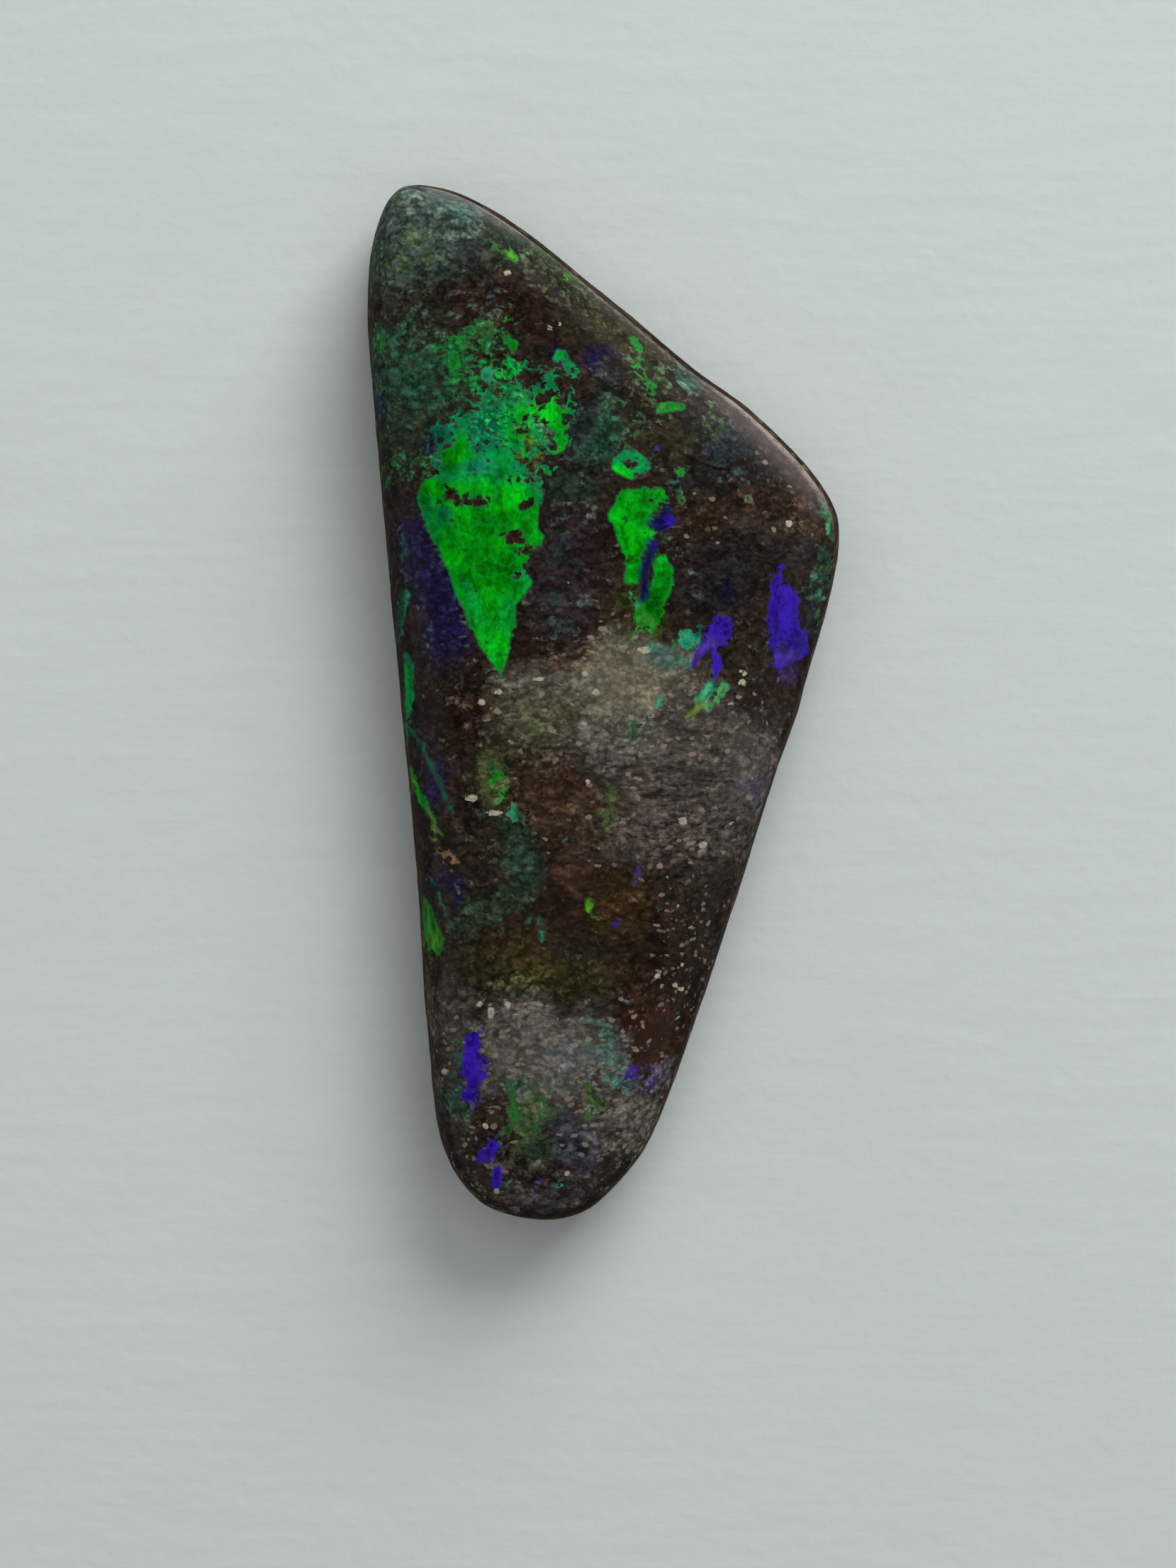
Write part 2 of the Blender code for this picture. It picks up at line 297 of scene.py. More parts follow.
# The sRGB curve, and the named colours in sRGB from 0 to 255
SRGB_WHITE = 255.0
SRGB_KNEE = 0.04045
SRGB_SLOPE = 12.92
SRGB_SHIFT = 0.055
SRGB_POWER = 2.4
PALETTE = {
    "grain": (150, 134, 116), "ironstone": (34, 26, 20), "umber": (42, 33, 27), "brown": (58, 42, 30),
    "chestnut": (52, 30, 20), "amber": (64, 46, 20), "sepia": (36, 23, 16), "clay": (74, 52, 42),
    # The beige is partly a painted reflection: the soft glow in the middle of the face
    "drab": (80, 72, 67), "taupe": (92, 86, 80), "beige_reflection": (120, 114, 94), "stone_grey": (100, 97, 90),
    "cool_grey": (84, 92, 92), "pale_grey": (104, 108, 106), "slate": (40, 46, 48), "coal": (38, 36, 40),
    "plum": (46, 36, 40), "ink": (27, 42, 66), "navy": (28, 21, 64), "lilac_grey": (84, 75, 88),
    "sage": (60, 76, 68), "moss": (44, 60, 44), "fern": (72, 80, 46), "pine": (26, 60, 44),
    "sea": (38, 68, 54), "olive": (46, 46, 24), "khaki": (84, 84, 52), "leaf": (0, 170, 4),
    "bright": (0, 205, 22), "emerald": (0, 160, 56), "deep": (2, 112, 12), "teal": (22, 146, 108),
    "dim_teal": (38, 100, 78), "lime": (84, 156, 26), "grass": (44, 132, 40), "dull_green": (48, 98, 54),
    "mint": (74, 176, 128), "straw": (132, 140, 84), "blue_green": (6, 92, 88), "violet": (56, 24, 176),
    "lilac": (84, 58, 158), "indigo": (30, 18, 104), "mauve": (66, 40, 96), "tan": (142, 114, 84),
    "cream": (190, 184, 160), "grey_green": (84, 100, 88), "sea_grey": (72, 106, 92),
    "fern_grey": (76, 96, 60), "pine_grey": (42, 82, 60), "pine_bright": (36, 116, 58),
    "sea_bright": (24, 128, 88), "olive_grey": (74, 78, 54), "olive_bright": (72, 74, 26),
    "moss_bright": (58, 84, 18), "slate_blue": (82, 78, 92), "pale_green": (96, 182, 92),
    # The rim's pink is partly a painted reflection and the edge's light colour a painted highlight, both
    # along the upper right edge
    "sea_green": (0, 190, 60), "blue_violet": (66, 40, 200), "rim_pink_reflection": (104, 90, 88),
    "edge_highlight": (172, 158, 150), "dusk": (52, 62, 60), "clay_light": (88, 66, 52),
    "indigo_grey": (34, 32, 70), "soot": (26, 28, 29),
}

# Soft changes in the ground, painted in this order: colour, place x and y, reach x and y, turn in
# degrees, strength
REGIONS = [
    ("umber", -2.6, 9.6, 3.6, 2.4, -20, 0.7), ("sage", -4.7, 12.7, 2.1, 1.7, 0, 0.85),
    ("sage", -5.3, 11.5, 1.2, 0.9, 0, 0.8), ("moss", -4.9, 8.3, 1.5, 2.3, 0, 0.85),
    ("moss", -2.2, 11.9, 1.3, 0.6, -38, 0.5), ("sepia", -3.0, 10.6, 1.6, 0.6, -12, 0.75),
    ("chestnut", -6.1, 10.7, 0.4, 0.8, 0, 0.8), ("sepia", -1.9, 10.2, 0.8, 0.9, 0, 0.8),
    ("olive", -0.2, 10.2, 1.4, 1.1, -38, 0.6), ("navy", -1.5, 9.3, 0.35, 0.28, 0, 0.7),
    ("navy", -0.1, 8.9, 0.55, 0.32, 0, 0.85), ("coal", -2.7, 9.0, 0.4, 0.4, 0, 0.7),
    ("slate", -0.1, 8.0, 0.9, 0.8, 0, 0.7), ("ink", -6.0, 7.6, 0.45, 0.5, 0, 0.95),
    ("navy", -4.8, 6.9, 0.4, 0.35, 0, 0.7), ("pine", 0.0, 7.1, 0.9, 0.8, 0, 0.8),
    ("olive", 1.2, 9.4, 1.5, 1.2, -40, 0.6), ("dim_teal", 2.25, 8.55, 0.6, 0.42, -30, 0.45),
    ("slate", 2.8, 7.1, 1.1, 1.0, 0, 0.65), ("olive", 1.6, 6.9, 1.0, 0.9, 0, 0.5),
    ("coal", 3.6, 6.6, 1.4, 0.9, -30, 0.6), ("brown", 3.0, 4.9, 1.5, 0.8, 10, 0.75),
    ("brown", 4.9, 5.0, 1.2, 1.1, 0, 0.6), ("umber", -5.1, 5.6, 0.8, 0.9, 0, 0.7),
    ("navy", -4.9, 4.1, 0.6, 0.5, 0, 0.75), ("navy", -4.35, 2.7, 1.05, 1.9, 18, 0.95),
    ("plum", -0.9, 3.4, 1.2, 2.6, 0, 0.8), ("sepia", -0.1, 4.4, 0.6, 1.2, 0, 0.8),
    ("coal", 2.9, 3.2, 1.5, 1.2, 0, 0.7), ("slate", 5.5, 2.3, 0.5, 0.9, 10, 0.6),
    ("slate", 5.2, 3.9, 0.9, 0.7, 0, 0.5), ("sepia", -2.2, 1.0, 1.5, 0.7, 15, 0.7),
    # The beige patches in the middle are partly a painted reflection, the soft glow that the face mirrors
    # there
    ("taupe", -0.6, 0.5, 1.5, 0.8, 10, 0.7), ("beige_reflection", 0.1, 0.2, 2.9, 1.5, 8, 0.45),
    ("beige_reflection", 0.9, 0.5, 1.2, 1.0, 0, 0.5), ("khaki", 0.7, 0.9, 0.9, 0.5, 30, 0.5),
    ("drab", 2.7, -0.9, 2.2, 1.4, 0, 0.75), ("drab", 1.2, -2.9, 2.6, 1.8, 0, 0.8),
    ("drab", 3.6, -2.6, 1.3, 2.4, -15, 0.8), ("cool_grey", 1.55, 1.0, 0.5, 0.32, 0, 0.85),
    ("chestnut", 5.0, 0.3, 0.5, 0.35, 0, 0.6), ("sepia", -3.8, -0.6, 1.3, 1.2, 0, 0.8),
    ("brown", -1.6, -1.6, 1.2, 1.2, 0, 0.55), ("brown", -0.6, -3.2, 1.4, 1.4, 0, 0.6),
    ("fern", -2.75, -2.05, 0.55, 0.75, 10, 0.85), ("sea", -2.35, -4.2, 0.75, 1.6, 6, 0.65),
    ("navy", -4.5, -2.3, 0.5, 0.8, 30, 0.8), ("coal", -5.0, -1.4, 0.4, 0.6, 0, 0.7),
    ("brown", -4.9, -4.0, 0.4, 0.7, 0, 0.8), ("navy", -4.15, -5.1, 0.3, 0.6, 20, 0.7),
    ("clay", -0.8, -4.85, 0.7, 0.45, 0, 0.7), ("sepia", -0.9, -5.6, 1.2, 0.6, 0, 0.6),
    ("moss", -3.2, -5.6, 0.9, 0.8, 0, 0.6), ("olive", -2.4, -6.9, 1.8, 0.9, 0, 0.7),
    ("olive", -0.6, -7.2, 1.6, 0.7, 0, 0.8), ("sepia", 2.0, -6.6, 1.4, 1.6, 0, 0.7),
    ("umber", -4.4, -8.6, 0.6, 1.6, 0, 0.7), ("stone_grey", -1.6, -9.3, 2.2, 1.6, 0, 0.9),
    ("taupe", -2.0, -8.6, 1.2, 0.7, 0, 0.6), ("sepia", 1.9, -8.2, 0.9, 1.6, -15, 0.8),
    ("chestnut", 1.0, -8.7, 1.05, 1.5, -15, 0.95), ("stone_grey", 0.7, -11.0, 1.2, 1.1, 0, 0.7),
    ("coal", -0.9, -11.6, 0.8, 1.0, 0, 0.4), ("slate_blue", -0.9, -11.6, 0.9, 1.0, 0, 0.9),
    ("moss", -3.95, -11.0, 0.6, 0.7, 0, 0.7), ("moss", -2.0, -12.0, 0.6, 0.9, -20, 0.6),
    ("brown", -3.4, -13.0, 1.0, 0.6, 0, 0.6), ("chestnut", -0.9, -13.5, 1.6, 0.35, 8, 0.6),
    ("lilac_grey", 1.7, -9.95, 0.45, 0.4, 0, 0.8), ("cool_grey", 0.4, -9.3, 0.4, 0.5, 0, 0.6),
    ("pale_grey", -5.35, 13.2, 0.75, 0.4, 25, 0.3), ("cool_grey", -2.65, 12.8, 0.75, 0.3, -35, 0.8),
    ("moss_bright", 1.2, 2.0, 0.55, 0.75, 0, 0.8), ("chestnut", -3.6, 5.25, 0.7, 0.3, 0, 0.8),
    ("chestnut", -2.45, 4.3, 0.5, 0.3, 0, 0.8), ("beige_reflection", -0.9, 0.6, 1.4, 0.7, 12, 0.5),
    ("pale_grey", 1.6, 0.95, 0.65, 0.45, 0, 0.95), ("stone_grey", 0.3, -0.9, 2.1, 1.2, 0, 0.6),
    ("brown", -1.2, -2.9, 1.4, 1.6, 0, 0.35), ("ironstone", 3.7, 5.2, 2.8, 2.4, 0, 0.4),
    ("amber", 0.3, -5.4, 0.9, 0.9, 0, 0.6), ("taupe", -1.6, -0.1, 1.7, 1.0, 20, 0.5),
    ("khaki", -1.9, -0.6, 1.0, 0.8, 0, 0.4), ("stone_grey", 3.9, -1.6, 1.0, 1.3, 0, 0.45),
    ("mauve", 5.05, 0.6, 0.5, 0.35, -15, 0.75), ("navy", 3.28, 2.92, 0.25, 0.25, 0, 0.9),
    ("drab", -4.2, -8.2, 0.8, 1.2, 0, 0.65), ("amber", -2.0, -6.6, 1.2, 0.6, 0, 0.4),
    ("amber", 1.0, 1.8, 0.7, 0.5, 0, 0.5), ("drab", -4.0, -10.2, 0.9, 2.0, 0, 0.4),
    ("pine", -0.7, 5.9, 0.8, 0.6, 0, 0.5), ("dusk", -0.4, 7.6, 0.8, 0.7, 0, 0.45),
    ("soot", 2.6, 5.9, 1.2, 0.6, 0, 0.7), ("soot", 3.2, 3.6, 1.3, 0.7, 0, 0.6),
    ("soot", 2.6, 2.9, 0.9, 0.6, 0, 0.75), ("drab", 3.9, 4.6, 0.7, 0.5, 0, 0.55),
    ("brown", 0.4, -7.0, 0.8, 0.5, 0, 0.6), ("fern_grey", -2.2, -11.0, 0.5, 0.9, -15, 0.6),
]

# Second colour of the ground, which only some of its cells take: colour, place, reach, turn, and the
# share of the cells
TINTS = [
    ("grey_green", -4.7, 12.5, 2.0, 1.3, 0, 0.38), ("grey_green", -5.2, 13.2, 0.9, 0.45, 25, 0.6),
    ("sea_grey", -3.7, 12.8, 0.8, 0.5, -20, 0.6), ("cool_grey", -2.8, 12.8, 0.8, 0.32, -35, 0.8),
    ("fern_grey", -5.4, 11.5, 1.2, 0.8, 0, 0.38), ("fern_grey", -1.4, 11.9, 1.9, 0.4, -38, 0.7),
    ("dusk", -3.6, 10.7, 1.5, 0.9, -15, 0.28), ("olive_grey", -1.6, 11.2, 1.6, 0.8, -20, 0.38),
    ("olive_grey", 0.1, 10.0, 1.3, 0.8, -38, 0.32), ("pine_grey", -5.4, 8.9, 1.3, 1.9, 0, 0.6),
    ("pine_grey", -3.9, 8.6, 1.3, 1.3, 0, 0.55), ("pine_bright", -3.0, 9.4, 1.1, 0.7, 20, 0.5),
    ("pine_bright", -3.9, 9.0, 0.5, 0.9, 0, 0.6), ("pine_bright", -5.8, 9.6, 0.5, 0.4, 0, 0.6),
    ("blue_green", -4.4, 7.2, 0.7, 0.35, 10, 0.6), ("emerald", -2.6, 8.3, 1.5, 0.7, 15, 0.35),
    ("sea_bright", -2.9, 7.1, 1.5, 1.0, 20, 0.75), ("emerald", -2.2, 6.9, 1.0, 0.9, 0, 0.6),
    ("olive_bright", -1.8, 6.5, 0.6, 0.7, 0, 0.5), ("pine_bright", -5.3, 6.3, 0.9, 0.7, 0, 0.32),
    ("slate", -0.5, 7.4, 1.0, 1.2, 0, 0.6), ("pine_grey", 0.2, 7.3, 0.9, 1.0, 0, 0.6),
    ("fern_grey", 1.2, 8.6, 1.1, 1.7, 10, 0.32), ("sea_grey", 2.3, 8.6, 0.8, 0.6, -38, 0.6),
    ("fern_grey", 2.9, 7.4, 0.8, 0.8, 0, 0.4), ("slate", 3.4, 6.5, 1.2, 0.8, -30, 0.5),
    ("pine_grey", 1.9, 5.3, 0.6, 1.2, 0, 0.4), ("clay_light", 3.2, 4.9, 1.6, 0.7, 8, 0.22),
    ("clay_light", 4.9, 5.2, 1.0, 1.0, 0, 0.35), ("slate", 3.2, 3.2, 1.5, 1.2, 0, 0.2),
    ("pine_grey", 5.7, 3.2, 0.6, 1.4, 10, 0.5), ("sea_bright", 6.15, 4.9, 0.35, 0.8, 10, 0.8),
    ("indigo_grey", -4.5, 3.0, 0.9, 1.9, 15, 0.5), ("slate", -1.0, 3.6, 1.3, 2.2, 0, 0.4),
    ("clay_light", -3.4, -0.2, 1.3, 1.0, 0, 0.35), ("clay_light", -0.9, 1.2, 1.4, 0.6, 10, 0.5),
    # Beige cells in the middle: partly a painted reflection
    ("beige_reflection", 0.6, 0.2, 2.0, 1.5, 0, 0.6), ("olive_grey", -1.6, -0.4, 0.9, 1.0, 0, 0.5),
    ("sea_grey", 1.65, 0.9, 0.6, 0.45, 0, 0.8), ("fern", -2.7, -1.9, 0.8, 1.3, 10, 0.4),
    ("clay", -1.0, -2.6, 1.3, 1.4, 0, 0.4), ("fern", 0.15, -2.8, 0.4, 0.8, 0, 0.5),
    ("taupe", 3.2, -1.2, 1.6, 1.8, 0, 0.35), ("lilac_grey", 4.2, -2.2, 0.7, 0.9, 0, 0.7),
    ("sea", -2.5, -4.2, 0.9, 1.0, 8, 0.3), ("olive_grey", -3.4, -3.6, 0.8, 0.6, 0, 0.3),
    ("moss", -2.9, -5.6, 1.5, 1.1, 0, 0.35), ("olive_bright", -1.2, -7.0, 2.2, 0.6, 0, 0.2),
    ("khaki", -2.6, -7.6, 1.9, 0.35, 0, 0.5), ("taupe", -1.9, -8.6, 2.0, 0.8, 0, 0.6),
    ("pale_grey", -0.9, -9.6, 1.6, 1.0, 0, 0.5), ("sea_grey", 0.0, -9.0, 0.5, 0.7, 0, 0.45),
    ("sea_grey", 0.35, -9.75, 0.55, 0.5, -30, 0.7), ("lilac_grey", 1.3, -9.9, 0.9, 0.5, 0, 0.7),
    ("fern_grey", -2.0, -10.8, 0.9, 1.2, -15, 0.6), ("pine_grey", -4.0, -10.8, 0.8, 0.9, 0, 0.6),
    ("taupe", 0.6, -11.3, 1.4, 1.2, 0, 0.5), ("slate", -1.0, -11.6, 0.9, 1.0, 0, 0.6),
    ("drab", -2.0, -12.9, 2.4, 0.7, 0, 0.5),
]

# Where a painted reflection evens out the cells, at the places where the polished face mirrors the soft
# light:
# place, reach, turn, strength
REFLECTION_HAZE = [
    (0.8, 0.3, 2.0, 1.6, 0, 0.55), (2.9, -1.5, 2.4, 2.2, 0, 0.45), (0.9, -2.4, 1.4, 1.2, 0, 0.35),
    (4.2, -2.2, 0.7, 0.9, 0, 0.5), (-1.0, -9.6, 2.4, 1.7, 0, 0.45), (0.95, -8.7, 0.62, 0.95, -15, 0.85),
    (-4.6, 12.9, 1.5, 0.9, 0, 0.35), (-1.0, -5.5, 2.2, 1.8, 0, 0.35),
]

# Where pale grains are thick: place, reach, turn, strength
GRAINY = [
    (0.2, 0.6, 2.4, 1.6, 0, 0.7), (1.6, -2.8, 3.4, 3.0, 0, 0.5), (-1.4, -9.6, 3.2, 2.4, 0, 1.0),
    (2.1, -6.9, 1.3, 2.3, 0, 0.9), (-4.2, -8.8, 0.8, 1.8, 0, 0.9), (0.6, -11.4, 1.8, 1.8, 0, 1.0),
    (-3.4, -12.2, 1.2, 1.2, 0, 0.8), (3.0, 4.9, 1.8, 0.9, 0, 0.35), (4.6, 6.2, 1.6, 1.2, -40, 0.3),
    (4.2, -1.6, 1.2, 2.6, 0, 0.5), (-1.6, -1.0, 2.0, 2.0, 0, 0.5),
]

# Where the ground is drawn out into level dashes
DASHED = [
    (2.2, -2.9, 2.3, 2.9, 0, 1.0), (0.9, -10.6, 1.6, 1.6, 0, 0.6), (-1.0, -8.2, 3.0, 0.5, 0, 0.8),
]

# Opal flashes as filled outlines: colour, fill, corners. A fill under 1 breaks up into a network.
AREAS = [
    ("leaf", 1.0, [(-4.9, 5.16), (-4.61, 4.45), (-4.32, 3.88), (-4.04, 3.21), (-3.81, 2.6), (-3.53, 1.93),
            (-3.17, 1.31), (-2.7, 0.62), (-2.5, 1.37), (-2.32, 2.08), (-2.3, 2.53), (-1.84, 3.1),
            (-2.22, 3.43), (-1.57, 4.22), (-1.76, 4.65), (-1.62, 5.56), (-1.9, 6.0), (-2.25, 6.45),
            (-2.75, 6.7), (-3.1, 6.35), (-3.5, 6.6), (-3.7, 7.15), (-3.95, 6.72), (-4.3, 6.6),
            (-4.4, 6.05), (-4.78, 5.75), (-4.92, 5.45)]),
    ("emerald", 0.43, [(-4.6, 5.9), (-4.6, 7.1), (-3.7, 7.8), (-2.9, 8.6), (-1.8, 8.7), (-0.75, 8.2),
            (-0.8, 6.7), (-1.5, 5.8), (-2.8, 5.7)]),
    ("leaf", 1.0, [(0.44, 5.5), (1.24, 5.6), (1.54, 5.54), (1.68, 5.32), (1.24, 4.84), (1.1, 4.57),
            (1.41, 4.44), (1.15, 4.09), (0.97, 3.75), (0.9, 3.05), (0.58, 3.1), (0.56, 3.75), (0.36, 4.31),
            (0.12, 4.84)]),
    ("violet", 0.9, [(4.45, 3.06), (5.06, 3.02), (5.22, 2.71), (5.24, 2.49), (5.15, 2.18), (5.41, 1.78),
            (5.54, 1.43), (5.46, 1.21), (5.06, 1.04), (4.84, 0.82), (4.49, 0.95), (4.4, 1.52),
            (4.31, 2.27)]),
    ("violet", 0.82, [(2.9, 2.2), (3.36, 2.2), (3.38, 1.75), (3.1, 1.25), (2.72, 1.22), (2.62, 1.72)]),
    ("indigo", 1.0, [(1.2, 4.64), (1.68, 5.17), (1.9, 4.66), (1.5, 4.38)]),
    ("violet", 0.82, [(-3.21, -8.64), (-3.21, -9.4), (-2.95, -9.61), (-3.27, -10.15), (-3.32, -10.63),
            (-3.48, -10.85), (-3.73, -10.52), (-3.75, -10.09), (-3.81, -9.56), (-3.78, -9.07),
            (-3.48, -8.75)]),
    ("violet", 0.82, [(-2.89, -11.49), (-2.73, -11.81), (-2.89, -12.08), (-3.21, -12.51), (-3.38, -12.03),
            (-3.27, -11.81)]),
    ("dull_green", 0.56, [(-2.68, -9.99), (-1.98, -9.88), (-1.82, -9.72), (-2.14, -10.52), (-2.25, -11.28),
            (-2.46, -11.76), (-2.73, -11.65), (-2.57, -10.85)]),
    ("grass", 1.0, [(-4.82, -5.18), (-4.6, -5.45), (-4.42, -5.9), (-4.22, -6.4), (-4.4, -6.75),
            (-4.72, -6.45), (-4.85, -5.85)]),
    ("mint", 1.0, [(2.78, 0.52), (2.98, 0.45), (2.72, 0.05), (2.46, -0.12), (2.38, 0.0)]),
    ("pale_green", 1.0, [(3.12, 0.52), (3.32, 0.36), (3.06, -0.02), (2.76, -0.28), (2.62, -0.12),
            (2.94, 0.12)]),
]

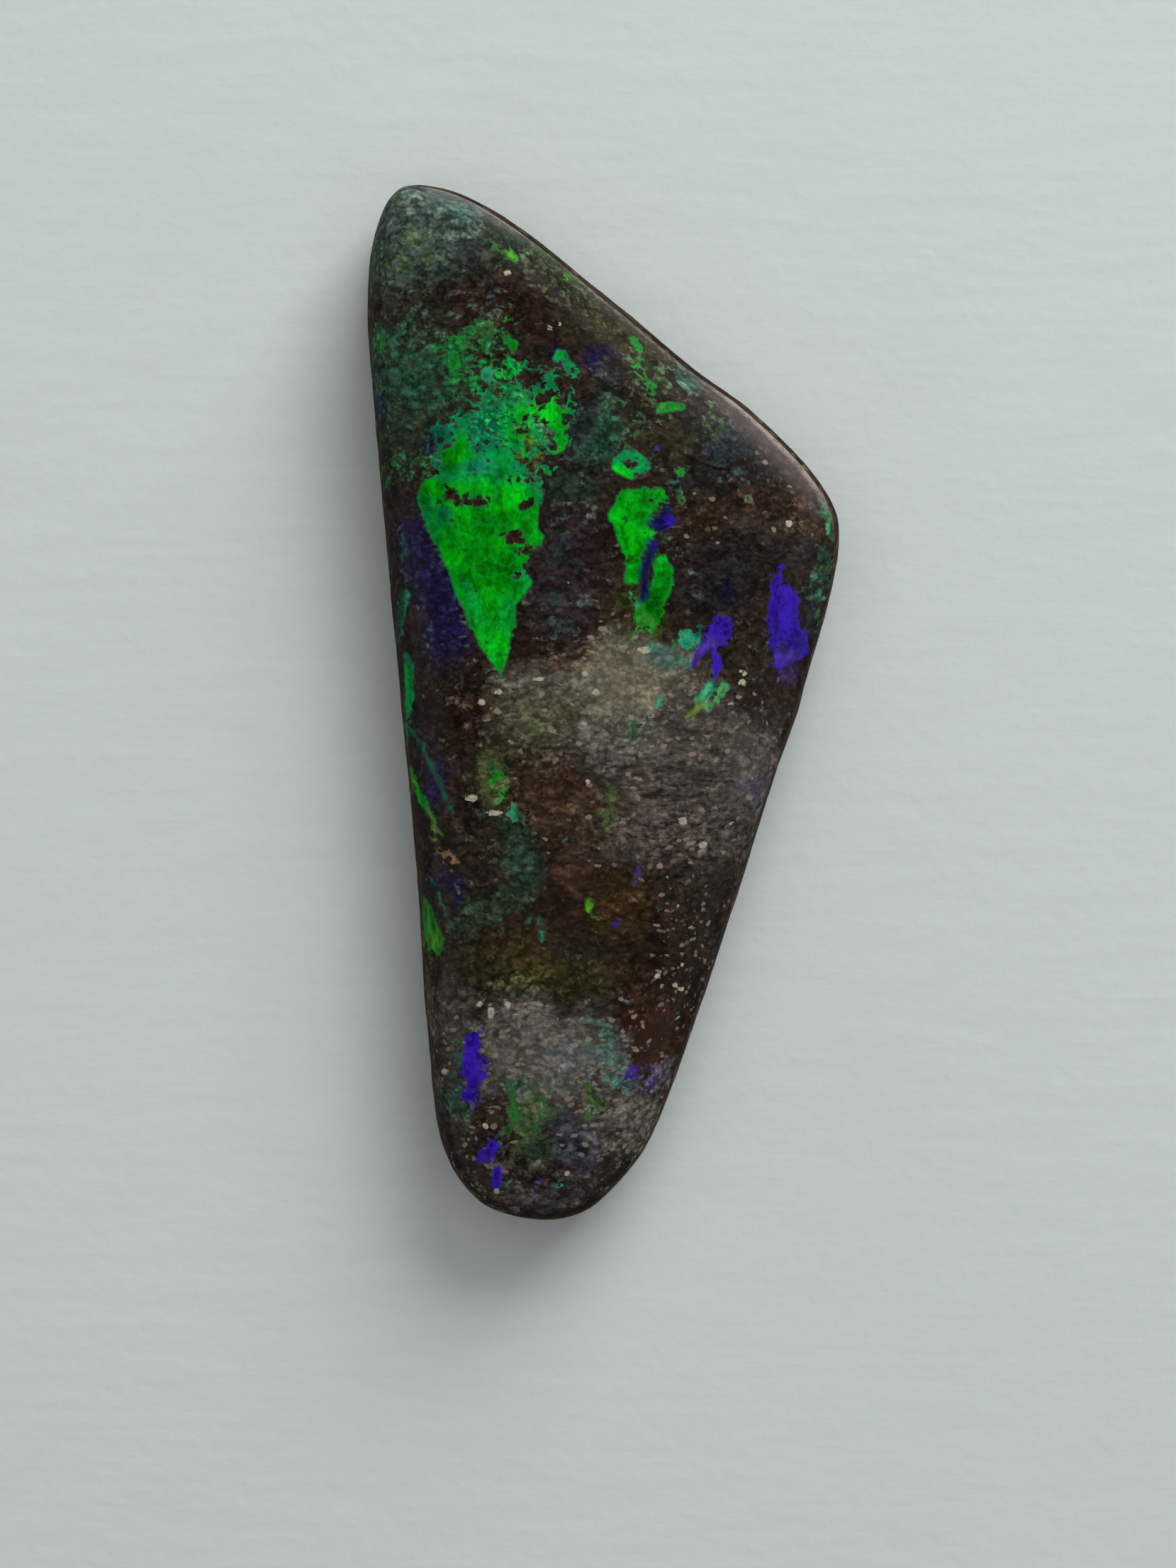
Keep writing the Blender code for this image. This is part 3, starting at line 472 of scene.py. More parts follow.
# Opal flashes as strokes: colour, fill, and a line of (x, y, half width)
STROKES = [
    ("bright", 0.66, [(-2.3, 7.75, 0.26), (-1.8, 7.6, 0.22), (-1.25, 7.74, 0.26), (-1.17, 7.1, 0.28)]),
    ("bright", 0.56, [(-2.25, 7.8, 0.22), (-2.22, 7.0, 0.2)]),
    ("bright", 1.0, [(-2.95, 7.25, 0.1), (-2.5, 6.95, 0.14), (-2.2, 6.6, 0.14)]),
    ("bright", 0.72, [(-1.55, 7.7, 0.22), (-1.2, 7.2, 0.3), (-1.15, 6.7, 0.22)]),
    ("emerald", 1.0, [(-2.3, 6.66, 0.13)]),
    ("emerald", 0.8, [(-2.9, 7.3, 0.1), (-2.7, 6.8, 0.1), (-2.85, 6.4, 0.12)]),
    ("leaf", 1.0, [(-3.72, 6.95, 0.08), (-3.73, 6.6, 0.22), (-3.99, 6.45, 0.22)]),
    ("emerald", 1.0, [(-2.05, 5.62, 0.05), (-1.72, 5.6, 0.09), (-1.66, 5.2, 0.08)]),
    ("emerald", 0.8, [(-4.2, 7.05, 0.14), (-4.6, 7.1, 0.1)]),
    ("emerald", 0.7, [(-1.52, 8.5, 0.22), (-1.35, 8.62, 0.14)]),
    ("emerald", 0.74, [(-0.78, 8.62, 0.2), (-0.9, 8.8, 0.1)]),
    ("emerald", 1.0, [(-1.11, 9.08, 0.17), (-1.28, 8.98, 0.08)]),
    ("emerald", 0.8, [(-2.32, 8.9, 0.13), (-1.92, 8.82, 0.11)]),
    ("leaf", 1.0, [(-2.4, 9.36, 0.13), (-2.6, 9.42, 0.07)]),
    ("grass", 0.54, [(-2.58, 9.84, 0.18), (-2.45, 9.66, 0.12)]),
    ("dull_green", 0.6, [(-2.8, 9.85, 0.14), (-3.3, 9.62, 0.16), (-3.7, 9.36, 0.14)]),
    ("teal", 1.0, [(-3.06, 8.6, 0.17)]),
    ("grass", 0.66, [(-3.85, 9.48, 0.14)]),
    ("grass", 0.64, [(-3.8, 9.05, 0.18), (-3.98, 8.8, 0.17), (-4.08, 8.5, 0.09)]),
    ("lime", 0.9, [(-2.5, 11.85, 0.1), (-2.4, 11.7, 0.13), (-2.55, 11.7, 0.08)]),
    ("dull_green", 0.7, [(-2.1, 12.32, 0.1), (-1.6, 12.0, 0.14), (-1.25, 11.7, 0.15)]),
    ("dull_green", 0.7, [(-0.95, 11.35, 0.13), (-0.4, 11.2, 0.14)]),
    ("lime", 0.66, [(-0.98, 11.3, 0.1), (-0.91, 11.0, 0.11), (-0.95, 10.85, 0.05)]),
    ("dull_green", 0.62, [(-2.9, 12.2, 0.12), (-2.85, 11.8, 0.12)]),
    ("grass", 0.9, [(0.74, 9.62, 0.08), (0.86, 9.55, 0.14), (0.92, 9.36, 0.1)]),
    ("grass", 0.8, [(0.93, 9.05, 0.08), (0.9, 8.8, 0.13), (1.02, 8.62, 0.09)]),
    ("grass", 0.9, [(1.22, 8.36, 0.12), (1.3, 8.18, 0.11)]),
    ("grass", 1.0, [(1.48, 7.72, 0.11), (1.8, 7.78, 0.15), (2.05, 7.8, 0.08)]),
    ("dull_green", 0.62, [(0.85, 7.1, 0.12), (0.7, 6.85, 0.14)]),
    ("bright", 1.0, [(0.34, 6.18, 0.15), (0.45, 6.05, 0.14), (0.7, 5.92, 0.09)]),
    ("emerald", 1.0, [(0.38, 6.3, 0.1), (0.66, 6.5, 0.12), (0.95, 6.4, 0.08), (1.18, 6.2, 0.08),
            (1.0, 6.08, 0.1), (0.85, 5.98, 0.08)]),
    ("grass", 0.8, [(2.02, 6.02, 0.15)]),
    ("dull_green", 0.6, [(1.95, 5.35, 0.1), (2.0, 5.05, 0.1)]),
    ("dim_teal", 0.9, [(1.68, 4.18, 0.09)]),
    ("bright", 1.0, [(1.52, 3.62, 0.18), (1.54, 3.3, 0.24), (1.62, 2.95, 0.18), (1.42, 2.7, 0.18),
            (1.26, 2.42, 0.18)]),
    ("leaf", 1.0, [(1.6, 3.4, 0.22), (1.45, 2.8, 0.28), (1.25, 2.55, 0.34)]),
    ("deep", 0.9, [(1.25, 2.4, 0.32), (1.12, 2.15, 0.34)]),
    ("grass", 0.62, [(1.08, 1.95, 0.28), (1.02, 1.62, 0.2)]),
    ("leaf", 1.0, [(0.8, 3.7, 0.16), (0.8, 3.4, 0.24), (0.62, 3.15, 0.12)]),
    ("mint", 0.8, [(0.56, 2.72, 0.04), (0.8, 2.8, 0.07), (0.84, 2.5, 0.06)]),
    ("indigo", 1.0, [(1.32, 4.1, 0.12), (1.12, 3.5, 0.1), (1.05, 2.85, 0.1), (1.0, 2.68, 0.05)]),
    ("violet", 1.0, [(1.74, 4.68, 0.1)]),
    ("violet", 0.8, [(4.75, 3.55, 0.05), (4.68, 3.4, 0.09), (4.62, 3.12, 0.1)]),
    ("violet", 0.7, [(4.45, 3.22, 0.08)]),
    ("lilac", 1.0, [(2.8, 1.5, 0.14), (2.5, 1.25, 0.1), (2.38, 0.95, 0.08)]),
    ("violet", 1.0, [(2.96, 1.15, 0.1), (2.99, 0.9, 0.14), (2.94, 0.62, 0.05)]),
    ("teal", 1.0, [(2.4, 1.62, 0.1), (2.25, 1.42, 0.12), (2.08, 1.52, 0.1), (2.1, 1.75, 0.09),
            (2.3, 1.78, 0.07)]),
    ("dim_teal", 0.8, [(2.45, 1.8, 0.09), (2.55, 1.98, 0.06)]),
    ("straw", 1.0, [(2.5, -0.18, 0.09), (2.38, -0.32, 0.08), (2.18, -0.44, 0.03)]),
    ("lime", 0.8, [(1.76, 1.48, 0.04), (2.02, 1.1, 0.06), (2.15, 0.8, 0.05)]),
    ("mint", 0.8, [(1.47, 0.05, 0.05), (1.37, -0.2, 0.12)]),
    ("dull_green", 0.64, [(1.1, -0.5, 0.1), (0.8, -0.7, 0.14), (0.75, -1.05, 0.12)]),
    ("dull_green", 0.9, [(6.12, 5.15, 0.06), (6.14, 4.8, 0.14), (6.16, 4.45, 0.14)]),
    ("dull_green", 0.8, [(5.8, 3.46, 0.05), (6.05, 3.52, 0.1)]),
    ("dim_teal", 0.9, [(-5.32, 4.42, 0.05), (-5.35, 3.8, 0.06)]),
    ("mint", 1.0, [(-5.34, 2.94, 0.06), (-5.27, 2.78, 0.13), (-5.36, 2.45, 0.08), (-5.4, 1.8, 0.05)]),
    ("dim_teal", 0.9, [(-5.38, 3.15, 0.05), (-5.42, 2.6, 0.07), (-5.46, 1.62, 0.04)]),
    ("emerald", 1.0, [(-5.24, 1.25, 0.04), (-5.18, 0.9, 0.12), (-5.17, 0.25, 0.13), (-5.22, -0.3, 0.08)]),
    ("emerald", 0.9, [(-5.23, -0.45, 0.08), (-5.28, -0.9, 0.07), (-5.3, -1.15, 0.04)]),
    ("dim_teal", 0.95, [(-5.12, -0.75, 0.06), (-4.9, -1.05, 0.06), (-4.64, -1.58, 0.06),
            (-4.34, -2.24, 0.07), (-3.98, -2.95, 0.06)]),
    ("lime", 1.0, [(-5.19, -1.84, 0.08), (-4.95, -2.41, 0.09), (-4.73, -2.81, 0.08), (-4.45, -3.25, 0.04)]),
    ("leaf", 1.0, [(-4.98, -2.35, 0.05), (-4.78, -2.72, 0.05)]),
    ("straw", 0.8, [(-4.46, -3.35, 0.05), (-4.38, -3.58, 0.1), (-4.52, -3.66, 0.09)]),
    ("tan", 0.75, [(-4.38, -3.92, 0.06), (-4.1, -4.15, 0.14), (-3.86, -4.22, 0.09), (-4.1, -4.4, 0.06)]),
    ("dim_teal", 0.9, [(-4.62, -4.68, 0.04), (-4.4, -5.15, 0.06), (-4.22, -5.55, 0.06),
            (-4.05, -6.1, 0.05)]),
    ("straw", 0.66, [(-4.84, -6.42, 0.04), (-4.58, -6.88, 0.05)]),
    ("teal", 0.8, [(-2.36, -2.85, 0.2), (-2.28, -3.1, 0.16)]),
    ("dull_green", 0.62, [(-2.1, -3.0, 0.2), (-2.05, -3.4, 0.08)]),
    ("dull_green", 0.52, [(-2.95, -1.5, 0.12), (-2.8, -2.3, 0.25)]),
    ("grass", 0.5, [(-2.8, -2.1, 0.2), (-2.65, -2.5, 0.15)]),
    ("dull_green", 0.8, [(0.14, -2.55, 0.08), (0.13, -3.05, 0.12), (0.16, -3.2, 0.06)]),
    ("lime", 0.9, [(-0.42, -5.32, 0.09), (-0.34, -5.6, 0.11), (-0.3, -5.76, 0.05)]),
    ("lime", 0.7, [(-0.16, -5.97, 0.08)]),
    ("mauve", 0.74, [(0.95, -4.35, 0.05), (0.86, -4.6, 0.07), (0.78, -4.8, 0.05)]),
    ("violet", 0.9, [(0.33, -5.88, 0.09)]),
    ("dim_teal", 0.8, [(-1.95, -5.9, 0.08), (-1.7, -5.8, 0.09), (-1.55, -5.95, 0.08)]),
    ("mint", 0.8, [(-1.56, -6.1, 0.12), (-1.68, -6.25, 0.09)]),
    ("dim_teal", 0.7, [(-3.86, -9.0, 0.1), (-3.9, -9.6, 0.1)]),
    ("violet", 1.0, [(-2.8, -12.46, 0.12), (-2.84, -12.85, 0.11)]),
    ("lilac", 1.0, [(-3.13, -12.14, 0.07)]),
    ("dull_green", 0.74, [(-1.7, -10.5, 0.12), (-1.95, -11.2, 0.16), (-2.25, -12.0, 0.12)]),
    ("lime", 0.8, [(-0.34, -10.3, 0.1), (-0.3, -10.5, 0.1), (-0.12, -10.76, 0.11)]),
    ("lime", 0.8, [(-0.34, -10.6, 0.06), (-0.4, -10.95, 0.07)]),
    ("lilac", 0.56, [(0.76, -9.8, 0.14), (0.8, -10.1, 0.14)]),
    ("lilac", 0.6, [(1.2, -9.8, 0.1), (1.28, -10.1, 0.12)]),
    ("lilac", 0.62, [(0.62, -9.96, 0.1), (0.98, -10.22, 0.12)]),
    ("dull_green", 0.54, [(-2.05, -10.2, 0.14), (-2.35, -11.1, 0.2), (-2.6, -11.7, 0.12)]),
    ("dull_green", 0.56, [(-1.55, -10.7, 0.12), (-1.85, -11.5, 0.16)]),
    ("lilac", 0.66, [(-1.72, -12.88, 0.13), (-1.6, -12.86, 0.08)]),
    ("mint", 0.8, [(-1.28, -12.86, 0.06), (-1.08, -12.84, 0.06)]),
    ("mint", 0.7, [(-2.56, -12.81, 0.08)]),
    ("mauve", 0.55, [(1.43, 6.64, 0.14)]),
    ("mauve", 0.5, [(2.65, 6.64, 0.14)]),
]

# Gaps in the flashes: a line of (x, y, half width)
GAPS = [
    [(-4.05, 5.42, 0.17), (-3.75, 5.24, 0.15), (-3.3, 5.26, 0.14), (-3.12, 5.2, 0.1)],
    [(-2.72, 4.3, 0.08), (-2.42, 4.33, 0.17), (-2.22, 4.22, 0.15)],
    [(-2.38, 5.8, 0.05), (-2.08, 5.9, 0.06), (-1.82, 5.74, 0.05)], [(-3.1, 6.42, 0.09)],
    [(-2.12, 6.35, 0.08), (-1.95, 6.1, 0.06)], [(-1.72, 7.25, 0.14)], [(0.82, 6.22, 0.1)],
    [(1.22, 5.34, 0.04), (1.4, 5.2, 0.05)], [(2.72, 0.0, 0.05), (2.9, 0.16, 0.04)], [(2.22, 1.6, 0.05)],
    [(4.72, 1.42, 0.07)], [(-1.8, -6.0, 0.06)], [(-2.22, 6.02, 0.05), (-2.03, 5.85, 0.06)],
    [(-1.88, 5.28, 0.07), (-2.1, 5.12, 0.08)], [(-1.98, 4.06, 0.07), (-2.25, 3.88, 0.08)],
    [(-2.12, 3.45, 0.07), (-2.3, 3.3, 0.06)], [(-4.16, 5.56, 0.09), (-4.0, 5.46, 0.1)],
    [(-2.65, 7.06, 0.1)], [(-3.35, 6.75, 0.07)],
]

# The colour that each flash colour turns to at its rims and along its inner net
PARTNERS = {
    "leaf": "emerald", "bright": "sea_green", "emerald": "teal", "deep": "leaf", "teal": "mint",
    "lime": "grass", "grass": "emerald", "dull_green": "fern_grey", "mint": "teal", "straw": "lime",
    "violet": "blue_violet", "lilac": "violet", "indigo": "ink", "mauve": "lilac", "pale_green": "mint",
}

# Soft changes of colour inside the flashes: colour, place, reach, turn, strength
SHIFTS = [
    ("bright", -2.75, 1.15, 0.45, 0.5, 0, 0.8), ("emerald", -3.5, 2.6, 0.22, 1.0, 20, 0.6),
    ("emerald", -2.5, 2.3, 0.3, 0.7, 0, 0.5), ("emerald", -4.6, 4.9, 0.35, 0.7, 20, 0.7),
    ("blue_green", -4.2, 4.9, 0.25, 0.35, 30, 0.6), ("bright", -2.4, 5.5, 0.6, 0.5, 0, 0.7),
    ("teal", -3.35, 6.1, 0.5, 0.3, 20, 0.8), ("emerald", -3.8, 5.9, 0.4, 0.25, 0, 0.6),
    ("bright", -3.2, 5.75, 0.5, 0.2, -20, 0.6), ("deep", -3.0, 3.6, 0.7, 0.5, 0, 0.5),
    ("deep", -4.0, 4.2, 0.3, 0.5, 20, 0.4), ("bright", -1.85, 4.25, 0.2, 0.2, 0, 0.6),
    ("emerald", -2.1, 3.2, 0.3, 0.4, 0, 0.7), ("deep", -2.6, 4.8, 0.5, 0.25, 0, 0.5),
    ("blue_green", -3.0, 7.0, 0.5, 0.5, 0, 0.6), ("blue_green", -4.3, 7.0, 0.4, 0.3, 0, 0.7),
    ("dim_teal", -2.4, 7.9, 0.9, 0.3, 0, 0.4), ("bright", 1.35, 5.4, 0.3, 0.2, 0, 0.8),
    ("bright", 0.3, 4.9, 0.2, 0.35, 0, 0.6), ("deep", 0.7, 4.9, 0.3, 0.3, 0, 0.4),
    ("bright", 1.05, 4.4, 0.3, 0.12, 0, 0.7), ("lilac", 4.85, 1.15, 0.5, 0.3, 0, 0.8),
    ("lilac", 3.0, 1.45, 0.3, 0.3, 0, 0.6), ("deep", -2.4, -10.9, 0.15, 0.4, 0, 0.3),
    ("dim_teal", -2.3, -10.1, 0.4, 0.25, 0, 0.6), ("lime", -4.45, -6.35, 0.2, 0.4, 20, 0.8),
    ("dull_green", -4.75, -5.6, 0.12, 0.5, 0, 0.5), ("lilac", -3.2, -9.65, 0.3, 0.3, 0, 0.4),
    ("dim_teal", -2.5, 8.25, 0.9, 0.4, 0, 0.6), ("dim_teal", -4.6, 6.6, 0.35, 0.5, 0, 0.7),
    ("dim_teal", -3.4, 7.8, 0.5, 0.3, 0, 0.4),
]

# Cream and white specks, partly pale inclusions and partly painted glints of tiny pits: place, half width
# along x and y
SPECKS = [
    (-3.23, -0.07, 0.11, 0.1), (-2.76, 0.2, 0.12, 0.06), (-1.73, 0.54, 0.14, 0.06), (-0.2, 0.19, 0.1, 0.09),
    (-0.5, 0.69, 0.09, 0.07), (-2.88, -2.98, 0.22, 0.08), (1.05, 1.3, 0.17, 0.09),
    (2.08, -3.18, 0.13, 0.11), (2.62, -3.83, 0.13, 0.09), (3.67, 0.46, 0.12, 0.09),
    (3.39, -0.09, 0.11, 0.05), (3.7, 0.73, 0.13, 0.06), (-1.41, 9.82, 0.08, 0.08),
    (-1.15, 9.92, 0.05, 0.05), (-2.97, -8.26, 0.1, 0.16), (-2.54, -8.03, 0.09, 0.09),
    (-3.27, -8.02, 0.09, 0.07), (-3.13, -11.27, 0.09, 0.08), (-2.84, -13.03, 0.09, 0.08),
    (-0.96, -12.54, 0.07, 0.07), (1.41, -7.29, 0.1, 0.06), (1.89, -7.54, 0.07, 0.07),
    (2.06, -7.66, 0.1, 0.06), (2.08, -7.01, 0.06, 0.06), (-2.55, 11.27, 0.1, 0.08), (4.91, 4.7, 0.1, 0.09),
    (-0.42, -2.17, 0.07, 0.07), (-3.46, -2.6, 0.2, 0.08), (-4.23, -9.85, 0.09, 0.09),
    (1.96, -8.45, 0.07, 0.05), (2.62, -8.0, 0.06, 0.06), (2.3, -5.99, 0.06, 0.05),
    (1.71, -5.37, 0.07, 0.05), (1.95, -5.45, 0.05, 0.05), (1.65, -4.65, 0.06, 0.05),
    (3.39, -3.25, 0.07, 0.05), (-0.95, 3.1, 0.06, 0.05), (-1.53, 3.8, 0.06, 0.05),
]


def curve_piece(before, start, end, after, steps):
    """Points of a centripetal Catmull-Rom curve from start up to, and without, end."""
    knots = [0.0]
    for first, second in ((before, start), (start, end), (end, after)):
        knots.append(knots[-1] + math.sqrt(np.linalg.norm(second - first)))
    k0, k1, k2, k3 = knots
    t = np.linspace(k1, k2, steps, endpoint=False)[:, None]
    a1 = (k1 - t) / (k1 - k0) * before + (t - k0) / (k1 - k0) * start
    a2 = (k2 - t) / (k2 - k1) * start + (t - k1) / (k2 - k1) * end
    a3 = (k3 - t) / (k3 - k2) * end + (t - k2) / (k3 - k2) * after
    b1 = (k2 - t) / (k2 - k0) * a1 + (t - k0) / (k2 - k0) * a2
    b2 = (k3 - t) / (k3 - k1) * a2 + (t - k1) / (k3 - k1) * a3
    return (k2 - t) / (k2 - k1) * b1 + (t - k1) / (k2 - k1) * b2


def smooth_outline():
    """The closed outline as a dense curve, and where on it each run of points begins."""
    runs = [RIGHT_SIDE, BOTTOM_TIP, LEFT_SIDE, TOP_TIP]
    points = np.array([point for run in runs for point in run]) * MM
    count = len(points)
    pieces = [curve_piece(points[i - 1], points[i], points[(i + 1) % count], points[(i + 2) % count],
                          CURVE_STEPS) for i in range(count)]
    dense = np.concatenate(pieces)
    starts = np.cumsum([0] + [len(run) * CURVE_STEPS for run in runs])
    return dense, starts


def even_samples(dense, begin, end, steps):
    """Points at equal distances along the outline from one place up to, and without, another."""
    stretch = np.vstack([dense, dense[:1]])[begin:end + 1]
    lengths = np.linalg.norm(np.diff(stretch, axis=0), axis=1)
    travelled = np.concatenate([[0.0], np.cumsum(lengths)])
    wanted = np.linspace(0.0, travelled[-1], steps, endpoint=False)
    return np.column_stack([np.interp(wanted, travelled, stretch[:, axis]) for axis in range(2)])


def sampled_outline():
    """The outline's vertices, clockwise from the right side's upper end, and each one's spine vertex."""
    dense, starts = smooth_outline()
    steps = (SIDE_STEPS, TIP_STEPS, SIDE_STEPS, TIP_STEPS)
    parts = [even_samples(dense, starts[i], starts[i + 1], steps[i]) for i in range(4)]
    outline = np.concatenate(parts)
    low = outline.min(axis=0)
    high = outline.max(axis=0)
    outline = (outline - (low + high) / 2.0) * (np.array([WIDTH, LENGTH]) / (high - low))
    down = list(range(SIDE_STEPS + 1))
    spine_of = down + [SIDE_STEPS] * (TIP_STEPS - 1) + down[::-1] + [0] * (TIP_STEPS - 1)
    return outline, np.array(spine_of)


def outward_normals(outline):
    along = np.roll(outline, -1, axis=0) - np.roll(outline, 1, axis=0)
    normals = np.column_stack([-along[:, 1], along[:, 0]])
    return normals / np.linalg.norm(normals, axis=1)[:, None]


def smooth_step(low, high, value):
    t = np.clip((value - low) / (high - low), 0.0, 1.0)
    return t * t * (3.0 - 2.0 * t)


def spine_places():
    """Places along the spine from 0 to 1, closer together at its ends, so that the tips stay round."""
    middles = (np.arange(SIDE_STEPS) + 0.5) / SIDE_STEPS
    ease = smooth_step(0.0, SPINE_EASE, middles) * smooth_step(0.0, SPINE_EASE, 1.0 - middles)
    places = np.concatenate([[0.0], np.cumsum(SPINE_SLOWEST + (1.0 - SPINE_SLOWEST) * ease)])
    return places / places[-1]


def spine_points(outline):
    """A line along the stone's middle, half way between its right side and its left side."""
    left_start = SIDE_STEPS + TIP_STEPS
    right = outline[:SIDE_STEPS + 1]
    left = outline[left_start:left_start + SIDE_STEPS + 1][::-1]
    middle = (right + left) / 2.0
    even = np.linspace(0.0, 1.0, SIDE_STEPS + 1)
    places = spine_places()
    return np.column_stack([np.interp(places, even, middle[:, axis]) for axis in range(2)])


def crown_height(y):
    """Height of the face along the stone's middle, eased between the crown line's points."""
    places = np.array(CROWN_LINE)[::-1] * MM
    slopes = np.gradient(places[:, 1], places[:, 0])
    index = np.clip(np.searchsorted(places[:, 0], y) - 1, 0, len(places) - 2)
    gap = places[index + 1, 0] - places[index, 0]
    t = np.clip((y - places[index, 0]) / gap, 0.0, 1.0)
    start = places[index, 1] * (1.0 + 2.0 * t) * (1.0 - t) ** 2 + slopes[index] * gap * t * (1.0 - t) ** 2
    end = places[index + 1, 1] * t ** 2 * (3.0 - 2.0 * t) + slopes[index + 1] * gap * t ** 2 * (t - 1.0)
    return start + end


def swell_height(x, y):
    total = np.zeros_like(x)
    for centre_x, centre_y, reach_x, reach_y, height in SWELLS:
        away = ((x / MM - centre_x) / reach_x) ** 2 + ((y / MM - centre_y) / reach_y) ** 2
        total += height * MM * np.exp(-away)
    return total


def edge_style(normals):
    """Height, inset, fall and roll of the face's edge, blended by the way the outline faces there."""
    lower = smooth_step(*LOWER_TURN, -normals[:, 1])
    left = smooth_step(*LEFT_TURN, -normals[:, 0])
    blended = []
    for at_upper, at_lower, at_left in zip(EDGE_UPPER, EDGE_LOWER, EDGE_LEFT):
        right = at_upper + (at_lower - at_upper) * lower
        blended.append(right + (at_left - right) * left)
    return blended


def face_height(x, y, fraction, edge_height, fall, roll):
    """Height of the polished face, where fraction runs from 0 on the spine to 1 at the face's edge."""
    dome = (1.0 - fraction ** fall) ** (1.0 / roll)
    swell = swell_height(x, y) * (1.0 - fraction ** SWELL_FADE)
    return edge_height + (crown_height(y) - edge_height) * dome + swell


def girdle_height(count):
    """Height of the widest part of the flank, which wanders a little as it was ground by hand."""
    turn = np.linspace(0.0, 2.0 * math.pi, count, endpoint=False)
    return GIRDLE_HEIGHT + sum(size * np.sin(waves * turn + phase) for size, waves, phase in GIRDLE_WAVES)


def fitted_height(rings, spine_ring):
    """Stretch everything above the face's lowest edge so that the top is exactly at THICKNESS."""
    top = max(spine_ring[:, 2].max(), max(ring[:, 2].max() for ring in rings))
    base = EDGE_LEFT[0]
    for ring in rings + [spine_ring]:
        above = np.maximum(ring[:, 2] - base, 0.0)
        ring[:, 2] += above * ((THICKNESS - base) / (top - base) - 1.0)


def stone_section(outline, normals):
    """The flank's rings, from the sawn back's edge up to the face's edge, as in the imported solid."""
    edge_height, edge_inset, fall, roll = edge_style(normals)
    girdle = girdle_height(len(outline))
    zero = np.zeros(len(outline))
    section = [(zero + BACK_INSET, zero), (zero + CHAMFER_INSET, zero + CHAMFER_HEIGHT), (zero, girdle),
               (edge_inset * UPPER_FLANK_INSET, girdle + (edge_height - girdle) * UPPER_FLANK_RISE),
               (edge_inset, edge_height)]
    corners = [np.column_stack([outline - normals * inset[:, None], height]) for inset, height in section]
    rings = []
    for start, end, steps in zip(corners, corners[1:], FLANK_RINGS):
        rings += [start + (end - start) * share for share in np.arange(steps) / steps]
    rings.append(corners[-1])
    return rings, edge_height, fall, roll


def softened(rings, begin, end):
    """Round the corners between rings a little. Each ring moves towards its neighbours, so inwards."""
    for _ in range(SOFTENING_PASSES):
        before = [ring.copy() for ring in rings]
        for i in range(begin, end):
            rings[i][:] = 0.5 * before[i] + 0.25 * (before[i - 1] + before[i + 1])


def stone_shape():
    """Rings from the middle of the back to the middle of the face, both spines, and what belongs to them."""
    outline, spine_of = sampled_outline()
    normals = outward_normals(outline)
    flank, edge_height, fall, roll = stone_section(outline, normals)
    spine = spine_points(outline)
    inner = spine[spine_of]
    back = []
    for share in np.arange(1, BACK_RINGS + 1) / (BACK_RINGS + 1.0):
        flat = inner + (flank[0][:, :2] - inner) * share
        back.append(np.column_stack([flat, np.zeros(len(flat))]))
    face = []
    for fraction in 1.0 - (np.arange(1, FACE_RINGS + 1) / (FACE_RINGS + 1.0)) ** RING_CROWDING:
        flat = inner + (flank[-1][:, :2] - inner) * fraction
        height = face_height(flat[:, 0], flat[:, 1], fraction, edge_height, fall, roll)
        face.append(np.column_stack([flat, height]))
    spine_height = crown_height(spine[:, 1]) + swell_height(spine[:, 0], spine[:, 1])
    face_spine = np.column_stack([spine, spine_height])
    fitted_height(face, face_spine)
    rings = back + flank + face
    edge = len(back) + len(flank) - 1
    softened(rings, len(back) + 1, edge + SOFTENED_FACE_RINGS)
    back_spine = np.column_stack([spine, np.zeros(len(spine))])
    return rings, back_spine, face_spine, spine_of, normals, len(back), edge


def ring_faces(ring_count, size, spine_of):
    """Faces of the closed stone. Its vertices are the back's spine, the rings and the face's spine."""
    spine_size = SIDE_STEPS + 1
    here = np.arange(size)
    there = np.roll(here, -1)
    faces = []
    first = spine_size
    last = spine_size + (ring_count - 1) * size
    face_spine = spine_size + ring_count * size
    for begin, spine, flip in ((first, 0, True), (last, face_spine, False)):
        for i, j in zip(here, there):
            corners = [spine + spine_of[i], spine + spine_of[j], begin + j, begin + i]
            if corners[0] == corners[1]:
                corners.pop(0)
            faces.append([int(corner) for corner in (corners[::-1] if flip else corners)])
    for ring in range(ring_count - 1):
        lower = spine_size + ring * size
        upper = lower + size
        faces += np.column_stack([upper + here, upper + there, lower + there, lower + here]).tolist()
    return faces


def fractal(points, scale, octaves):
    """Smooth noise from about -1 to 1 at points in millimetres."""
    return np.array([noise.fractal(Vector(point) * scale, 1.0, 2.0, octaves) for point in points])


def wander(points):
    """Small level shifts that bend the soft patches of the ground out of round."""
    shifts = []
    for offset in WANDER_OFFSETS:
        moved = points + np.array(offset)
        wide, narrow = [fractal(moved, scale, 2) for scale in WANDER_SCALES]
        shifts.append(WANDER_WIDE * wide + WANDER_NARROW * narrow)
    return np.column_stack(shifts)


